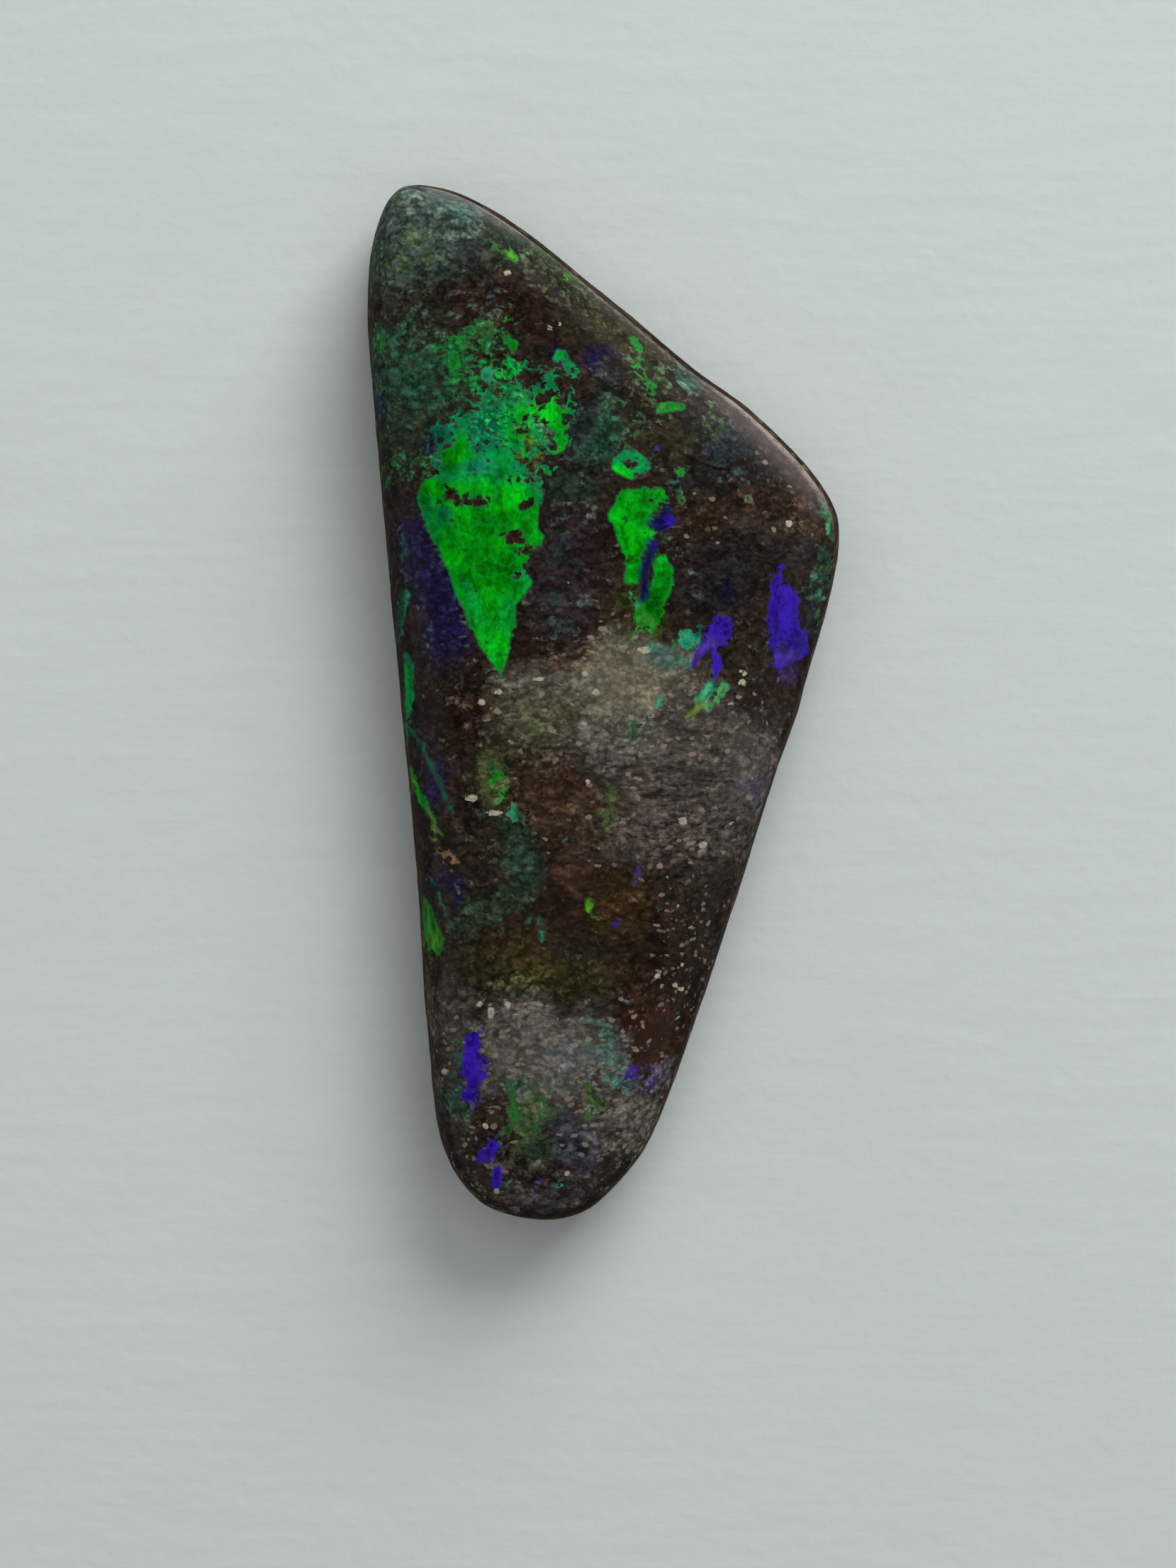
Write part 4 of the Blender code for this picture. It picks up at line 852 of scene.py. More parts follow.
def worn_in(points, normals, face_share, back_share):
    """Points moved inwards by the ground flank's unevenness, the face's faint waves and the saw marks."""
    places = points / MM
    coarse = 0.5 + 0.5 * fractal(places, WEAR_SCALES[0], 2)
    fine = 0.5 + 0.5 * fractal(places, WEAR_SCALES[1], 3)
    flank_share = (1.0 - face_share) * (1.0 - back_share)
    across_saw = places[:, 0] * SAW_SLANT + places[:, 1]
    saw = 0.5 + 0.5 * np.sin(across_saw * SAW_TURNS + SAW_WOBBLE * coarse)
    depth = flank_share * (FLANK_WAVE * coarse + FLANK_GRAIN * fine)
    depth += face_share * FACE_WAVE * coarse + back_share * SAW_DEPTH * saw * fine
    return points - normals * np.clip(depth, 0.0, None)[:, None]


def linear(name):
    """A palette colour in linear light."""
    value = np.array(PALETTE[name]) / SRGB_WHITE
    curve = ((value + SRGB_SHIFT) / (1.0 + SRGB_SHIFT)) ** SRGB_POWER
    return np.where(value <= SRGB_KNEE, value / SRGB_SLOPE, curve)


def partner_colour(name):
    """The colour that a flash colour turns to at its rims and along its net, in linear light."""
    return linear(PARTNERS.get(name, name))


def opaque(name):
    """A palette colour as a shader takes it."""
    return (*linear(name), 1.0)


def ellipse_share(places, x, y, reach_x, reach_y, turn):
    """1 inside a soft ellipse and 0 outside it."""
    angle = math.radians(turn)
    right = places[:, 0] - x
    up = places[:, 1] - y
    along = right * math.cos(angle) + up * math.sin(angle)
    across = up * math.cos(angle) - right * math.sin(angle)
    return 1.0 - smooth_step(SOFT_FROM, SOFT_TO, np.hypot(along / reach_x, across / reach_y))


def segment_distance(places, start, end):
    """Distance from each place to a segment, and how far along the segment its nearest point lies."""
    step = end - start
    along = np.clip(((places - start) @ step) / (step @ step), 0.0, 1.0)
    return np.linalg.norm(places - start - along[:, None] * step, axis=1), along


def stroke_depth(places, line):
    """How deep each place is inside a stroke of changing half width, negative outside it."""
    points = np.array(line)
    depth = points[0, 2] - np.linalg.norm(places - points[0, :2], axis=1)
    for start, end in zip(points, points[1:]):
        distance, along = segment_distance(places, start[:2], end[:2])
        depth = np.maximum(depth, start[2] + along * (end[2] - start[2]) - distance)
    return depth


def area_depth(places, corners):
    """How deep each place is inside a closed outline, negative outside it."""
    points = np.array(corners)
    nearest = np.full(len(places), np.inf)
    inside = np.zeros(len(places), bool)
    for start, end in zip(points, np.roll(points, -1, axis=0)):
        nearest = np.minimum(nearest, segment_distance(places, start, end)[0])
        spans = (start[1] > places[:, 1]) != (end[1] > places[:, 1])
        rise = end[1] - start[1] if end[1] != start[1] else 1.0
        crossing = start[0] + (places[:, 1] - start[1]) / rise * (end[0] - start[0])
        inside ^= spans & (places[:, 0] < crossing)
    return np.where(inside, nearest, -nearest)


def painted(places, first, layers):
    """A colour for each place: the first one, with soft ellipses of other colours laid over it."""
    colour = np.tile(linear(first), (len(places), 1))
    for name, *ellipse, strength in layers:
        share = strength * ellipse_share(places, *ellipse)
        colour += (linear(name) - colour) * share[:, None]
    return colour


def tint_layer(places):
    """Colour that some of the ground's cells take at each place, and the share of them that do."""
    colour = np.tile(linear(TINTS[0][0]), (len(places), 1))
    amount = np.zeros(len(places))
    for name, *ellipse, strength in TINTS:
        share = ellipse_share(places, *ellipse)
        colour += (linear(name) - colour) * share[:, None]
        amount += (strength - amount) * share
    return colour, amount


def greatest_share(places, layers):
    """The greatest of several soft ellipses' strengths at each place."""
    total = np.zeros(len(places))
    for *ellipse, strength in layers:
        total = np.maximum(total, strength * ellipse_share(places, *ellipse))
    return total


def flash_layer(places):
    """The opal flashes at each place: colour, partner colour, cover and how ragged their edges are."""
    marks = [(name, fill, area_depth(places, corners)) for name, fill, corners in AREAS]
    marks += [(name, fill, stroke_depth(places, line)) for name, fill, line in STROKES]
    tearing = [min(1.0, RAGGED_SOLID + RAGGED_GAIN * (1.0 - fill)) for name, fill, depth in marks]
    nearest = np.argmax([depth for name, fill, depth in marks], axis=0)
    colour = np.array([linear(name) for name, fill, depth in marks])[nearest]
    partner = np.array([partner_colour(name) for name, fill, depth in marks])[nearest]
    raggedness = np.array(tearing)[nearest]
    cover = np.zeros(len(places))
    for (name, fill, depth), torn in zip(marks, tearing):
        share = smooth_step(-COLOUR_MARGIN, 0.0, depth)
        colour += (linear(name) - colour) * share[:, None]
        partner += (partner_colour(name) - partner) * share[:, None]
        raggedness += (torn - raggedness) * share
        cover = np.maximum(cover, fill * np.clip(0.5 + depth / EDGE_SOFTNESS, 0.0, 1.0))
    for name, *ellipse, strength in SHIFTS:
        share = strength * ellipse_share(places, *ellipse)
        colour += (linear(name) - colour) * share[:, None]
        partner += (partner_colour(name) - partner) * share[:, None]
    for line in GAPS:
        depth = stroke_depth(places, line)
        cover = np.minimum(cover, np.clip(0.5 - depth / EDGE_SOFTNESS, 0.0, 1.0))
        raggedness += (RAGGED_GAP - raggedness) * smooth_step(-GAP_MARGIN, 0.0, depth)
    return colour, partner, cover, raggedness


def speck_layer(places):
    cover = np.zeros(len(places))
    for x, y, half_x, half_y in SPECKS:
        away = np.hypot((places[:, 0] - x) / half_x, (places[:, 1] - y) / half_y)
        depth = (1.0 - away) * min(half_x, half_y)
        cover = np.maximum(cover, np.clip(0.5 + depth / SPECK_SOFTNESS, 0.0, 1.0))
    return cover


def store_value(mesh, name, values):
    attribute = mesh.attributes.new(name, "FLOAT", "POINT")
    attribute.data.foreach_set("value", values.astype(np.float32))


def store_colour(mesh, name, colours):
    attribute = mesh.attributes.new(name, "FLOAT_COLOR", "POINT")
    with_alpha = np.column_stack([colours, np.ones(len(colours))])
    attribute.data.foreach_set("color", with_alpha.astype(np.float32).ravel())


def store_map(mesh, upper_map, back_map, on_back):
    """A map with no overlap: the face and the opened-out flank on one side, the back on the other."""
    layer = mesh.uv_layers.new(name="OFBake")
    vertex_of = np.zeros(len(mesh.loops), np.int32)
    mesh.loops.foreach_get("vertex_index", vertex_of)
    start_of = np.zeros(len(mesh.polygons), np.int32)
    mesh.polygons.foreach_get("loop_start", start_of)
    face_of = np.searchsorted(start_of, np.arange(len(vertex_of)), side="right") - 1
    spots = np.where(on_back[face_of][:, None], back_map[vertex_of], upper_map[vertex_of])
    layer.data.foreach_set("uv", spots.astype(np.float32).ravel())


def flattened_maps(rings, back_spine, face_spine, normals, edge):
    """Map places for the upper side and for the back, in shares of one square."""
    upper = [ring[:, :2].copy() for ring in rings]
    run = np.zeros(len(normals))
    for ring in range(edge - 1, -1, -1):
        run += np.linalg.norm(rings[ring] - rings[ring + 1], axis=1)
        upper[ring] = rings[edge][:, :2] + normals * run[:, None]
    upper_map = np.vstack([back_spine[:, :2]] + upper + [face_spine[:, :2]])
    back_map = np.vstack([back_spine[:, :2]] + [ring[:, :2] for ring in rings] + [face_spine[:, :2]])
    open_flank = upper[BACK_RINGS]
    wide, tall = open_flank.max(axis=0) - open_flank.min(axis=0)
    side = tall + 2.0 * MAP_GAP
    upper_map = (upper_map - open_flank.min(axis=0) + MAP_GAP) / side
    back_edge = rings[BACK_RINGS] * np.array([-1.0, 1.0, 1.0])
    back_low = back_edge[:, :2].min(axis=0)
    back_map = back_map * np.array([-1.0, 1.0])
    back_map = (back_map - back_low + np.array([wide + 2.0 * MAP_GAP, MAP_GAP])) / side
    return upper_map, back_map


def make_stone():
    rings, back_spine, face_spine, spine_of, outward, back_count, edge = stone_shape()
    size = len(outward)
    points = np.vstack([back_spine] + rings + [face_spine])
    faces = ring_faces(len(rings), size, spine_of)
    mesh = bpy.data.meshes.new("polished_opal")
    mesh.from_pydata(points.tolist(), [], faces)
    mesh.update()
    face_share, back_share = side_shares(rings, back_spine, face_spine, back_count, edge)
    rim_reflection_share, highlight_line_share, kept_polish = rim_shares(rings, back_spine, face_spine, outward, edge)
    at_corner = greatest_share(points[:, :2] / MM, RIM_PLACES)
    normals = np.zeros(len(points) * 3)
    mesh.vertices.foreach_get("normal", normals)
    normals = normals.reshape(-1, 3)
    level_share = np.maximum(smooth_step(*GLOSS_SLOPE, normals[:, 2]), kept_polish * at_corner)
    gloss = face_share * (GLOSS_EDGE + (GLOSS_FACE - GLOSS_EDGE) * level_share)
    points = worn_in(points, normals, face_share, back_share)
    mesh.vertices.foreach_set("co", points.ravel())
    mesh.shade_smooth()
    places = points[:, :2] / MM
    flash_colour, rim_colour, flash_cover, raggedness = flash_layer(places)
    wandering = places + wander(points / MM)
    store_colour(mesh, "ground_colour", painted(wandering, "umber", REGIONS))
    tint_colour, tint_share = tint_layer(wandering)
    store_colour(mesh, "tint_colour", tint_colour)
    store_value(mesh, "tint_share", tint_share)
    store_colour(mesh, "flash_colour", flash_colour)
    store_colour(mesh, "rim_colour", rim_colour)
    store_value(mesh, "flash_cover", flash_cover * face_share)
    store_value(mesh, "raggedness", raggedness)
    store_value(mesh, "speck_and_glint_cover", speck_layer(places) * face_share)
    store_value(mesh, "grain", greatest_share(wandering, GRAINY))
    # Painted reflection: evens out the ground's cells where the face mirrors the soft light
    store_value(mesh, "reflection_haze", np.maximum(greatest_share(wandering, REFLECTION_HAZE), LEAST_REFLECTION_HAZE))
    store_value(mesh, "dashes", greatest_share(wandering, DASHED))
    # Painted reflection band and painted highlight line along the face's upper right edge
    store_value(mesh, "rim_reflection_share", rim_reflection_share * at_corner)
    store_value(mesh, "highlight_line_share", highlight_line_share * at_corner)
    store_value(mesh, "gloss", np.maximum(gloss, GLOSS_FLANK))
    store_value(mesh, "face_share", face_share)
    upper_map, back_map = flattened_maps(rings, back_spine, face_spine, outward, edge)
    on_back = np.zeros(len(faces), bool)
    on_back[:size] = True
    on_back[2 * size:2 * size + back_count * size] = True
    store_map(mesh, upper_map, back_map, on_back)
    stone = bpy.data.objects.new("polished_opal", mesh)
    bpy.context.scene.collection.objects.link(stone)
    return stone


def side_shares(rings, back_spine, face_spine, back_count, edge):
    """How far each vertex belongs to the polished face and to the sawn back."""
    run = np.zeros(len(rings[0]))
    below = []
    for ring in range(edge - 1, -1, -1):
        run = run + np.linalg.norm(rings[ring] - rings[ring + 1], axis=1)
        below.append(np.clip(1.0 - run / FACE_FADE, 0.0, 1.0))
    face_share = below[::-1] + [np.ones(len(rings[0]))] * (len(rings) - edge)
    face_share = np.concatenate([np.zeros(len(back_spine))] + face_share + [np.ones(len(face_spine))])
    back_share = np.zeros(len(face_share))
    back_share[:len(back_spine) + back_count * len(rings[0])] = 1.0
    return face_share, back_share


def rim_shares(rings, back_spine, face_spine, outward, edge):
    """A soft band inside the face's upper right edge, partly painted reflection, the thin painted highlight
    line there, and where the polish is kept.
    """
    facing = smooth_step(*RIM_FACING, outward @ np.array(RIM_LIGHT_DIRECTION))
    run = np.zeros(len(outward))
    band = [np.zeros(len(outward))] * edge
    line = [np.zeros(len(outward))] * edge
    kept = [np.zeros(len(outward))] * edge
    for ring in range(edge, len(rings)):
        if ring > edge:
            run = run + np.linalg.norm(rings[ring] - rings[ring - 1], axis=1)
        band.append(facing * (1.0 - smooth_step(*RIM_REACH, run)))
        line.append(facing * (1.0 - smooth_step(*HIGHLIGHT_LINE_REACH, run)))
        kept.append(facing)
    before = [np.zeros(len(back_spine))]
    after = [np.zeros(len(face_spine))]
    return (np.concatenate(before + band + after), np.concatenate(before + line + after),
            np.concatenate(before + kept + after))


def add_node(tree, kind, values=None, **settings):
    """A shader node with its settings and sockets filled in. A socket given as a value is linked."""
    node = tree.nodes.new(kind)
    for name, value in settings.items():
        setattr(node, name, value)
    for key, value in (values or {}).items():
        if isinstance(value, bpy.types.NodeSocket):
            tree.links.new(value, node.inputs[key])
        else:
            node.inputs[key].default_value = value
    return node


def maths(tree, operation, first, second=0.0, third=0.0):
    return add_node(tree, "ShaderNodeMath", {0: first, 1: second, 2: third}, operation=operation).outputs[0]


def stepped(tree, value, low, high, to_low=0.0, to_high=1.0):
    """Smooth change from one value to another as a value passes from low to high."""
    node = add_node(tree, "ShaderNodeMapRange", {"Value": value, "From Min": low, "From Max": high,
                    "To Min": to_low, "To Max": to_high}, interpolation_type="SMOOTHSTEP")
    return node.outputs[0]


def mixed(tree, share, first, second):
    """Two colours mixed. The colour mix node's float sockets come first, so its colours are 6 and 7."""
    return add_node(tree, "ShaderNodeMix", {0: share, 6: first, 7: second}, data_type="RGBA").outputs[2]


def blended(tree, share, first, second):
    """Two amounts mixed. The mix node's amounts are its sockets 2 and 3."""
    return add_node(tree, "ShaderNodeMix", {0: share, 2: first, 3: second}).outputs[0]


def scaled(tree, vector, amount):
    return add_node(tree, "ShaderNodeVectorMath", {0: vector, "Scale": amount}, operation="SCALE").outputs[0]


def stretched(tree, place, scale, turn=0.0):
    return add_node(tree, "ShaderNodeMapping", {"Vector": place, "Scale": scale,
                    "Rotation": (0.0, 0.0, math.radians(turn))}).outputs[0]


def noise_at(tree, place, scale, detail=2.0, roughness=0.5):
    return add_node(tree, "ShaderNodeTexNoise", {"Vector": place, "Scale": scale, "Detail": detail,
                    "Roughness": roughness}).outputs[0]


def cells_at(tree, place, scale, pull, turn):
    """Cells in three dimensions, pulled out of round and turned about Z."""
    return add_node(tree, "ShaderNodeTexVoronoi", {"Vector": stretched(tree, place, pull, turn),
                    "Scale": scale})


def threads_at(tree, place, scale, width, detail):
    """Thin winding threads, bright along the middle level of a noise."""
    level = noise_at(tree, place, scale, detail, THREAD_ROUGHNESS)
    away = maths(tree, "ABSOLUTE", maths(tree, "SUBTRACT", level, NOISE_MIDDLE))
    return stepped(tree, away, 0.0, width, 1.0, 0.0)


def stored(tree, name, output="Fac"):
    return add_node(tree, "ShaderNodeAttribute", attribute_name=name).outputs[output]


def channels(tree, cells):
    """Two even random numbers for each cell."""
    parts = add_node(tree, "ShaderNodeSeparateColor", {0: cells.outputs["Color"]})
    return parts.outputs[0], parts.outputs[1]


def millimetre_place(tree):
    """Place on the stone in millimetres, as it is and bent a little so that no pattern runs straight."""
    place = scaled(tree, add_node(tree, "ShaderNodeTexCoord").outputs["Object"], 1.0 / MM)
    bend = add_node(tree, "ShaderNodeTexNoise", {"Vector": place, "Scale": BEND_SCALE, "Detail": BEND_DETAIL})
    centred = add_node(tree, "ShaderNodeVectorMath", {0: bend.outputs["Color"], 1: (NOISE_MIDDLE,) * 3},
                       operation="SUBTRACT").outputs[0]
    bent = add_node(tree, "ShaderNodeVectorMath", {0: place, 1: scaled(tree, centred, BEND_REACH)},
                    operation="ADD").outputs[0]
    return place, bent


def two_colours(tree, place, small_chance, tiny_chance):
    """The ground's first colour, with the second one in some of its cells."""
    chosen = maths(tree, "MULTIPLY_ADD", tiny_chance, TINY_VOTE,
                   maths(tree, "MULTIPLY", small_chance, SMALL_VOTE))
    chosen = maths(tree, "ADD", chosen, stepped(tree, noise_at(tree, place, *MIDDLE_NOISE), *MIDDLE_RAMP))
    limit = maths(tree, "MULTIPLY_ADD", stored(tree, "tint_share"), *TINT_LIMIT)
    share = stepped(tree, maths(tree, "SUBTRACT", chosen, limit), *TINT_RAMP)
    return mixed(tree, share, stored(tree, "ground_colour", "Color"), stored(tree, "tint_colour", "Color"))


def cell_level(tree, cells, light):
    """How light each cell is, fading from its middle to its edge."""
    return maths(tree, "MULTIPLY", light, stepped(tree, cells.outputs["Distance"], *CELL_RAMP))


def ground_level(tree, place, fine, small_level, tiny_level):
    """How light the ground is: cells, threads, fine noise and broad clouds, evened out where a painted
    reflection lies over them.
    """
    level = maths(tree, "MULTIPLY_ADD", small_level, CELL_GAIN,
                  maths(tree, "MULTIPLY_ADD", tiny_level, CELL_GAIN, LEAST_LEVEL))
    threads = threads_at(tree, stretched(tree, place, *GROUND_THREAD_PULL), *GROUND_THREADS)
    level = maths(tree, "MULTIPLY_ADD", threads, THREAD_GAIN, level)
    level = maths(tree, "MULTIPLY", level, stepped(tree, fine, *FINE_RAMP))
    level = maths(tree, "MULTIPLY", level, stepped(tree, noise_at(tree, place, *BROAD_NOISE), *BROAD_RAMP))
    return blended(tree, stored(tree, "reflection_haze"), level, 1.0)


def dashed_level(tree, bent, level):
    """The ground's level with light and dark dashes over it, where it is drawn out."""
    dashes = stored(tree, "dashes")
    lines = noise_at(tree, stretched(tree, bent, *DASH_PULL), *DASH_NOISE)
    light = maths(tree, "MULTIPLY", stepped(tree, lines, *LIGHT_DASH_RAMP), dashes)
    dark = maths(tree, "MULTIPLY", stepped(tree, lines, *DARK_DASH_RAMP), dashes)
    level = maths(tree, "MULTIPLY", level, maths(tree, "MULTIPLY_ADD", light, DASH_GAIN, 1.0))
    return maths(tree, "MULTIPLY", level, maths(tree, "MULTIPLY_ADD", dark, -DASH_GAIN, 1.0))


def pale_grains(tree, bent, fine):
    """Where the ground's pale grains show, and how strongly."""
    grains = cells_at(tree, bent, *GRAIN_CELLS)
    chance, light = channels(tree, grains)
    reach = maths(tree, "MULTIPLY_ADD", light, GRAIN_SPREAD, maths(tree, "MULTIPLY_ADD", fine, *GRAIN_REACH))
    dot = stepped(tree, maths(tree, "SUBTRACT", grains.outputs["Distance"], reach), *GRAIN_RAMP)
    limit = maths(tree, "MULTIPLY_ADD", stored(tree, "grain"), *GRAIN_LIMIT)
    pale = maths(tree, "MULTIPLY", maths(tree, "GREATER_THAN", chance, limit), dot)
    return maths(tree, "MULTIPLY", pale, maths(tree, "MULTIPLY_ADD", light, *GRAIN_LIGHT))


def ground_pattern(tree, place, bent):
    """Colour of the mottled ironstone, how light it is, and where its pale grains show."""
    small = cells_at(tree, bent, *SMALL_CELLS)
    tiny = cells_at(tree, bent, *TINY_CELLS)
    small_chance, small_light = channels(tree, small)
    tiny_chance, tiny_light = channels(tree, tiny)
    fine = noise_at(tree, place, *FINE_NOISE)
    colour = two_colours(tree, place, small_chance, tiny_chance)
    level = ground_level(tree, place, fine, cell_level(tree, small, small_light),
                         cell_level(tree, tiny, tiny_light))
    level = dashed_level(tree, bent, level)
    pale = pale_grains(tree, bent, fine)
    return mixed(tree, pale, scaled(tree, colour, level), opaque("grain")), level, pale


def flash_pattern(tree, place):
    """Colour of the opal flashes, and where they show."""
    threads = threads_at(tree, place, *TEAR_THREADS)
    cloud = stepped(tree, noise_at(tree, place, *CLOUD_NOISE), *CLOUD_RAMP)
    ragged = maths(tree, "MULTIPLY_ADD", threads, THREAD_VOTE, maths(tree, "MULTIPLY", cloud, CLOUD_VOTE))
    swing = maths(tree, "MULTIPLY", maths(tree, "MULTIPLY_ADD", ragged, *TEAR_SWING),
                  stored(tree, "raggedness"))
    edge = maths(tree, "ADD", stored(tree, "flash_cover"), swing)
    net = threads_at(tree, stretched(tree, place, *NET_PULL), *NET_THREADS)
    veins = threads_at(tree, stretched(tree, place, *VEIN_PULL), *VEIN_THREADS)
    shine = stepped(tree, noise_at(tree, stretched(tree, place, *COLUMN_PULL), *COLUMN_NOISE), *COLUMN_RAMP)
    shine = maths(tree, "MULTIPLY_ADD", net, NET_LIGHT, shine)
    shine = maths(tree, "MULTIPLY", shine, maths(tree, "MULTIPLY_ADD", veins, *VEIN_SHADE))
    shine = maths(tree, "MULTIPLY", shine, stepped(tree, noise_at(tree, place, *SPOT_NOISE), *SPOT_RAMP))
    colour = scaled(tree, stored(tree, "flash_colour", "Color"), shine)
    rim = maths(tree, "MAXIMUM", stepped(tree, edge, *RIM_RAMP), maths(tree, "MULTIPLY", net, NET_RIM))
    colour = mixed(tree, rim, colour, stored(tree, "rim_colour", "Color"))
    pits = stepped(tree, noise_at(tree, place, *PIT_NOISE), *PIT_RAMP)
    return mixed(tree, pits, colour, PIT_COLOUR), stepped(tree, edge, *MASK_RAMP)


def flank_pattern(tree, bent):
    """Colour of the ground ironstone on the flank and the back: bands, rusty patches and pale grains."""
    bands = noise_at(tree, stretched(tree, bent, *BAND_PULL), *BAND_NOISE)
    blots = noise_at(tree, bent, *BLOT_NOISE)
    grains = channels(tree, cells_at(tree, bent, *FLANK_CELLS))[0]
    colour = mixed(tree, stepped(tree, bands, *BAND_RAMP), FLANK_DARK, FLANK_BROWN)
    colour = mixed(tree, stepped(tree, blots, *BLOT_RAMP), colour, FLANK_RUST)
    colour = scaled(tree, colour, maths(tree, "MULTIPLY_ADD", grains, *FLANK_MOTTLE))
    pale = maths(tree, "MULTIPLY", maths(tree, "GREATER_THAN", grains, FLANK_GRAIN_LIMIT), FLANK_GRAIN_SHARE)
    return mixed(tree, pale, colour, FLANK_PALE), bands, grains


def speck_share(tree, place):
    """Where the cream specks show, partly as painted glints, with uneven edges and tone."""
    spot = noise_at(tree, place, *SPOT_NOISE)
    cover = maths(tree, "SUBTRACT", stored(tree, "speck_and_glint_cover"), SPECK_SHIFT)
    shown = stepped(tree, maths(tree, "MULTIPLY_ADD", spot, SPECK_TEAR, cover), *SPECK_RAMP)
    return maths(tree, "MULTIPLY", shown, stepped(tree, spot, *SPECK_LIGHT_RAMP))


def stone_roughness(tree, face, level, mask, bands):
    rough = maths(tree, "MULTIPLY_ADD", level, *FACE_ROUGHNESS)
    rough = maths(tree, "MULTIPLY_ADD", mask, FLASH_ROUGHNESS, rough)
    polish = stepped(tree, stored(tree, "gloss"), GLOSS_EDGE, GLOSS_FACE)
    rough = blended(tree, polish, UNPOLISHED_ROUGHNESS, rough)
    return blended(tree, face, maths(tree, "MULTIPLY_ADD", bands, *FLANK_ROUGHNESS), rough)


def stone_relief(tree, place, face, level, pale, grains):
    """Fine relief: sunk pale grains on the face, scratches and standing grains on the flank and the back."""
    on_face = maths(tree, "MULTIPLY_ADD", pale, GRAIN_RISE, maths(tree, "MULTIPLY", level, LEVEL_RISE))
    scratches = noise_at(tree, stretched(tree, place, *SCRATCH_PULL), *SCRATCH_NOISE)
    on_flank = maths(tree, "MULTIPLY_ADD", grains, FLANK_GRAIN_RISE, scratches)
    return blended(tree, face, on_flank, on_face)


def stone_material():
    material = bpy.data.materials.new("opal_ironstone_polished")
    material.use_nodes = True
    tree = material.node_tree
    shader = tree.nodes["Principled BSDF"]
    place, bent = millimetre_place(tree)
    face = stored(tree, "face_share")
    ground, level, pale = ground_pattern(tree, place, bent)
    flash, mask = flash_pattern(tree, place)
    flank, bands, grains = flank_pattern(tree, bent)
    # Painted reflection: the pinkish band along the upper right edge, partly the stone's own colour
    band = maths(tree, "MULTIPLY", stored(tree, "rim_reflection_share"), maths(tree, "MULTIPLY_ADD", level, *RIM_REFLECTION_GAIN))
    ground = mixed(tree, band, ground, opaque("rim_pink_reflection"))
    colour = mixed(tree, mask, ground, flash)
    # Painted highlight: the thin light line along that edge
    line = maths(tree, "MULTIPLY", stored(tree, "highlight_line_share"), stepped(tree, level, *HIGHLIGHT_LINE_RAMP))
    colour = mixed(tree, line, colour, opaque("edge_highlight"))
    # Cream specks, partly painted glints
    colour = mixed(tree, speck_share(tree, place), colour, opaque("cream"))
    on_face = maths(tree, "MULTIPLY_ADD", noise_at(tree, place, *FACE_EDGE_NOISE), FACE_EDGE_TEAR, face)
    colour = mixed(tree, stepped(tree, on_face, *FACE_EDGE_RAMP), flank, colour)
    tree.links.new(colour, shader.inputs["Base Color"])
    tree.links.new(stone_roughness(tree, face, level, mask, bands), shader.inputs["Roughness"])
    tree.links.new(stored(tree, "gloss"), shader.inputs["Coat Weight"])
    shader.inputs["Coat Roughness"].default_value = COAT_ROUGHNESS
    shader.inputs["Coat IOR"].default_value = STONE_IOR
    shader.inputs["IOR"].default_value = STONE_IOR
    shader.inputs["Specular IOR Level"].default_value = STONE_SPECULAR
    relief = stone_relief(tree, place, face, level, pale, grains)
    bump = add_node(tree, "ShaderNodeBump", {"Strength": STONE_BUMP, "Distance": STONE_BUMP_HEIGHT,
                    "Height": relief})
    tree.links.new(bump.outputs[0], shader.inputs["Normal"])
    return material


def make_floor():
    """Pale painted surface with faint level brush lines."""
    mesh = bpy.data.meshes.new("floor")
    half = FLOOR_SIZE / 2.0
    mesh.from_pydata([(-half, -half, 0.0), (half, -half, 0.0), (half, half, 0.0), (-half, half, 0.0)],
                     [], [(0, 1, 2, 3)])
    floor = bpy.data.objects.new("floor", mesh)
    bpy.context.scene.collection.objects.link(floor)
    floor.location.z = -FLOOR_GAP
    material = bpy.data.materials.new("pale_paint")
    material.use_nodes = True
    tree = material.node_tree
    shader = tree.nodes["Principled BSDF"]
    place = scaled(tree, add_node(tree, "ShaderNodeTexCoord").outputs["Object"], 1.0 / MM)
    lines = noise_at(tree, stretched(tree, place, *FLOOR_BRUSH_PULL), *FLOOR_BRUSH_NOISE)
    tooth = noise_at(tree, place, *FLOOR_TOOTH_NOISE)
    shade = maths(tree, "MULTIPLY_ADD", lines, *FLOOR_SHADE)
    tree.links.new(scaled(tree, FLOOR_COLOUR, shade), shader.inputs["Base Color"])
    shader.inputs["Roughness"].default_value = FLOOR_ROUGHNESS
    relief = maths(tree, "MULTIPLY_ADD", lines, FLOOR_BRUSH_RISE, tooth)
    bump = add_node(tree, "ShaderNodeBump", {"Strength": FLOOR_BUMP, "Distance": FLOOR_BUMP_HEIGHT,
                    "Height": relief})
    tree.links.new(bump.outputs[0], shader.inputs["Normal"])
    mesh.materials.append(material)
    return floor


def direction_of(azimuth, elevation):
    """A unit vector. Azimuth turns from +X towards +Y."""
    turn = math.radians(azimuth)
    lift = math.radians(elevation)
    return Vector((math.cos(turn) * math.cos(lift), math.sin(turn) * math.cos(lift), math.sin(lift)))


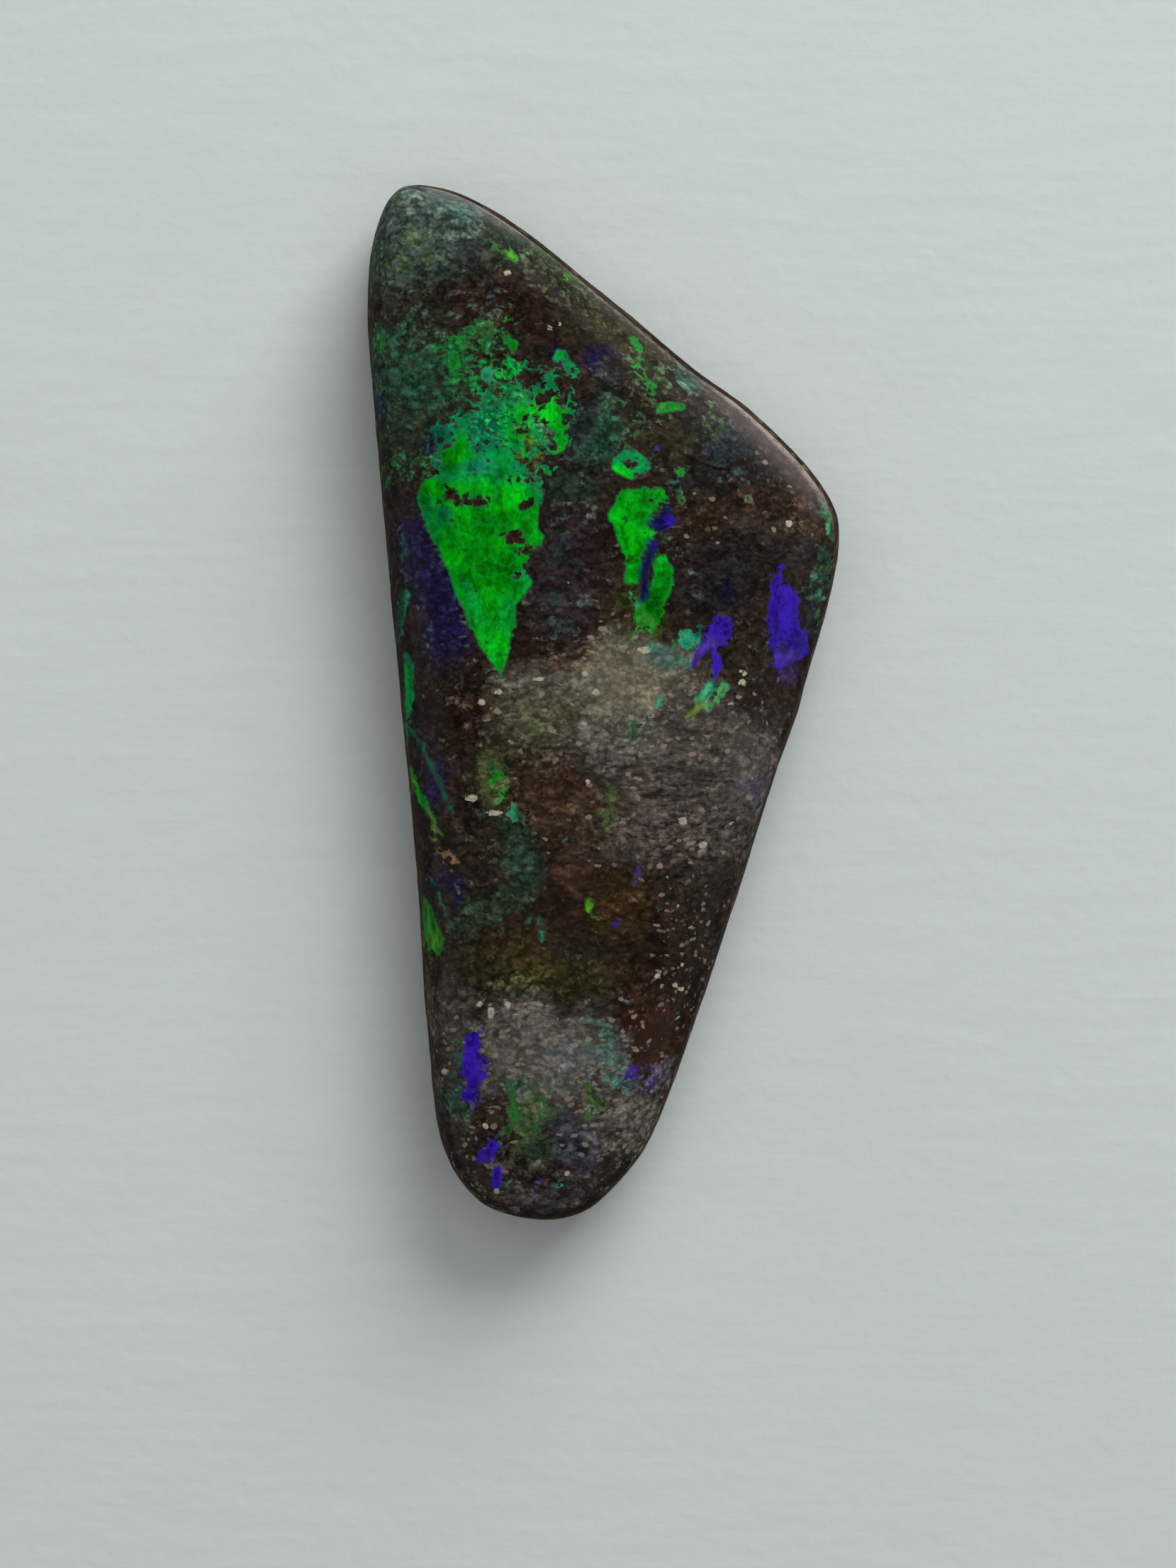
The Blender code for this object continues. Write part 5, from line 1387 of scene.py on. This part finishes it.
def light_world():
    """A soft surround that is dim overhead, lighter low down, and brightest in a few low places."""
    world = bpy.data.worlds.new("soft_surround")
    bpy.context.scene.world = world
    world.use_nodes = True
    tree = world.node_tree
    direction = add_node(tree, "ShaderNodeTexCoord").outputs["Generated"]
    height = add_node(tree, "ShaderNodeSeparateXYZ", {0: direction}).outputs["Z"]
    strength = stepped(tree, height, *DIM_TOP, WALL_LIGHT, TOP_LIGHT)
    for azimuth, elevation, inner, outer, power in GLOWS:
        towards = add_node(tree, "ShaderNodeVectorMath", {0: direction, 1: direction_of(azimuth, elevation)},
                           operation="DOT_PRODUCT").outputs["Value"]
        limits = [math.cos(math.radians(reach)) for reach in (outer, inner)]
        glow = stepped(tree, towards, *limits, 0.0, power)
        strength = maths(tree, "ADD", strength, glow)
    tree.links.new(strength, tree.nodes["Background"].inputs["Strength"])
    tree.nodes["Background"].inputs["Color"].default_value = SURROUND_COLOUR


def add_area_light(name, azimuth, elevation, distance, size, power):
    """A square light aimed at the stone. It isn't mirrored in the polish, where the surround shows."""
    away = direction_of(azimuth, elevation)
    light = bpy.data.lights.new(name, "AREA")
    light.size = size
    light.energy = power
    item = bpy.data.objects.new(name, light)
    bpy.context.scene.collection.objects.link(item)
    item.location = away * distance
    item.rotation_mode = "QUATERNION"
    item.rotation_quaternion = away.to_track_quat("Z", "Y")
    item.visible_glossy = False


def add_camera():
    """The photo's camera: straight down, with the stone as large and as far off centre as there."""
    centre_x = (PHOTO_SIZE[0] / 2.0 - STONE_MIDDLE_X_PX) * PX_SIZE
    centre_y = ((STONE_TOP_PX + STONE_BOTTOM_PX) / 2.0 - PHOTO_SIZE[1] / 2.0) * PX_SIZE
    camera = bpy.data.objects.new("camera", bpy.data.cameras.new("camera"))
    bpy.context.scene.collection.objects.link(camera)
    camera.location = (centre_x, centre_y, CAMERA_HEIGHT)
    camera.data.sensor_width = SENSOR
    camera.data.lens = SENSOR * (CAMERA_HEIGHT - GIRDLE_HEIGHT) / (PHOTO_SIZE[1] * PX_SIZE)
    camera.data.clip_start = NEAREST_SEEN
    camera.data.clip_end = FARTHEST_SEEN
    bpy.context.scene.camera = camera


stone = make_stone()
stone.data.materials.append(stone_material())
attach(stone, "root")
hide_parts(NODE)
make_floor()
light_world()
for settings in LIGHTS:
    add_area_light(*settings)
add_camera()
bpy.context.scene.view_settings.view_transform = "Standard"
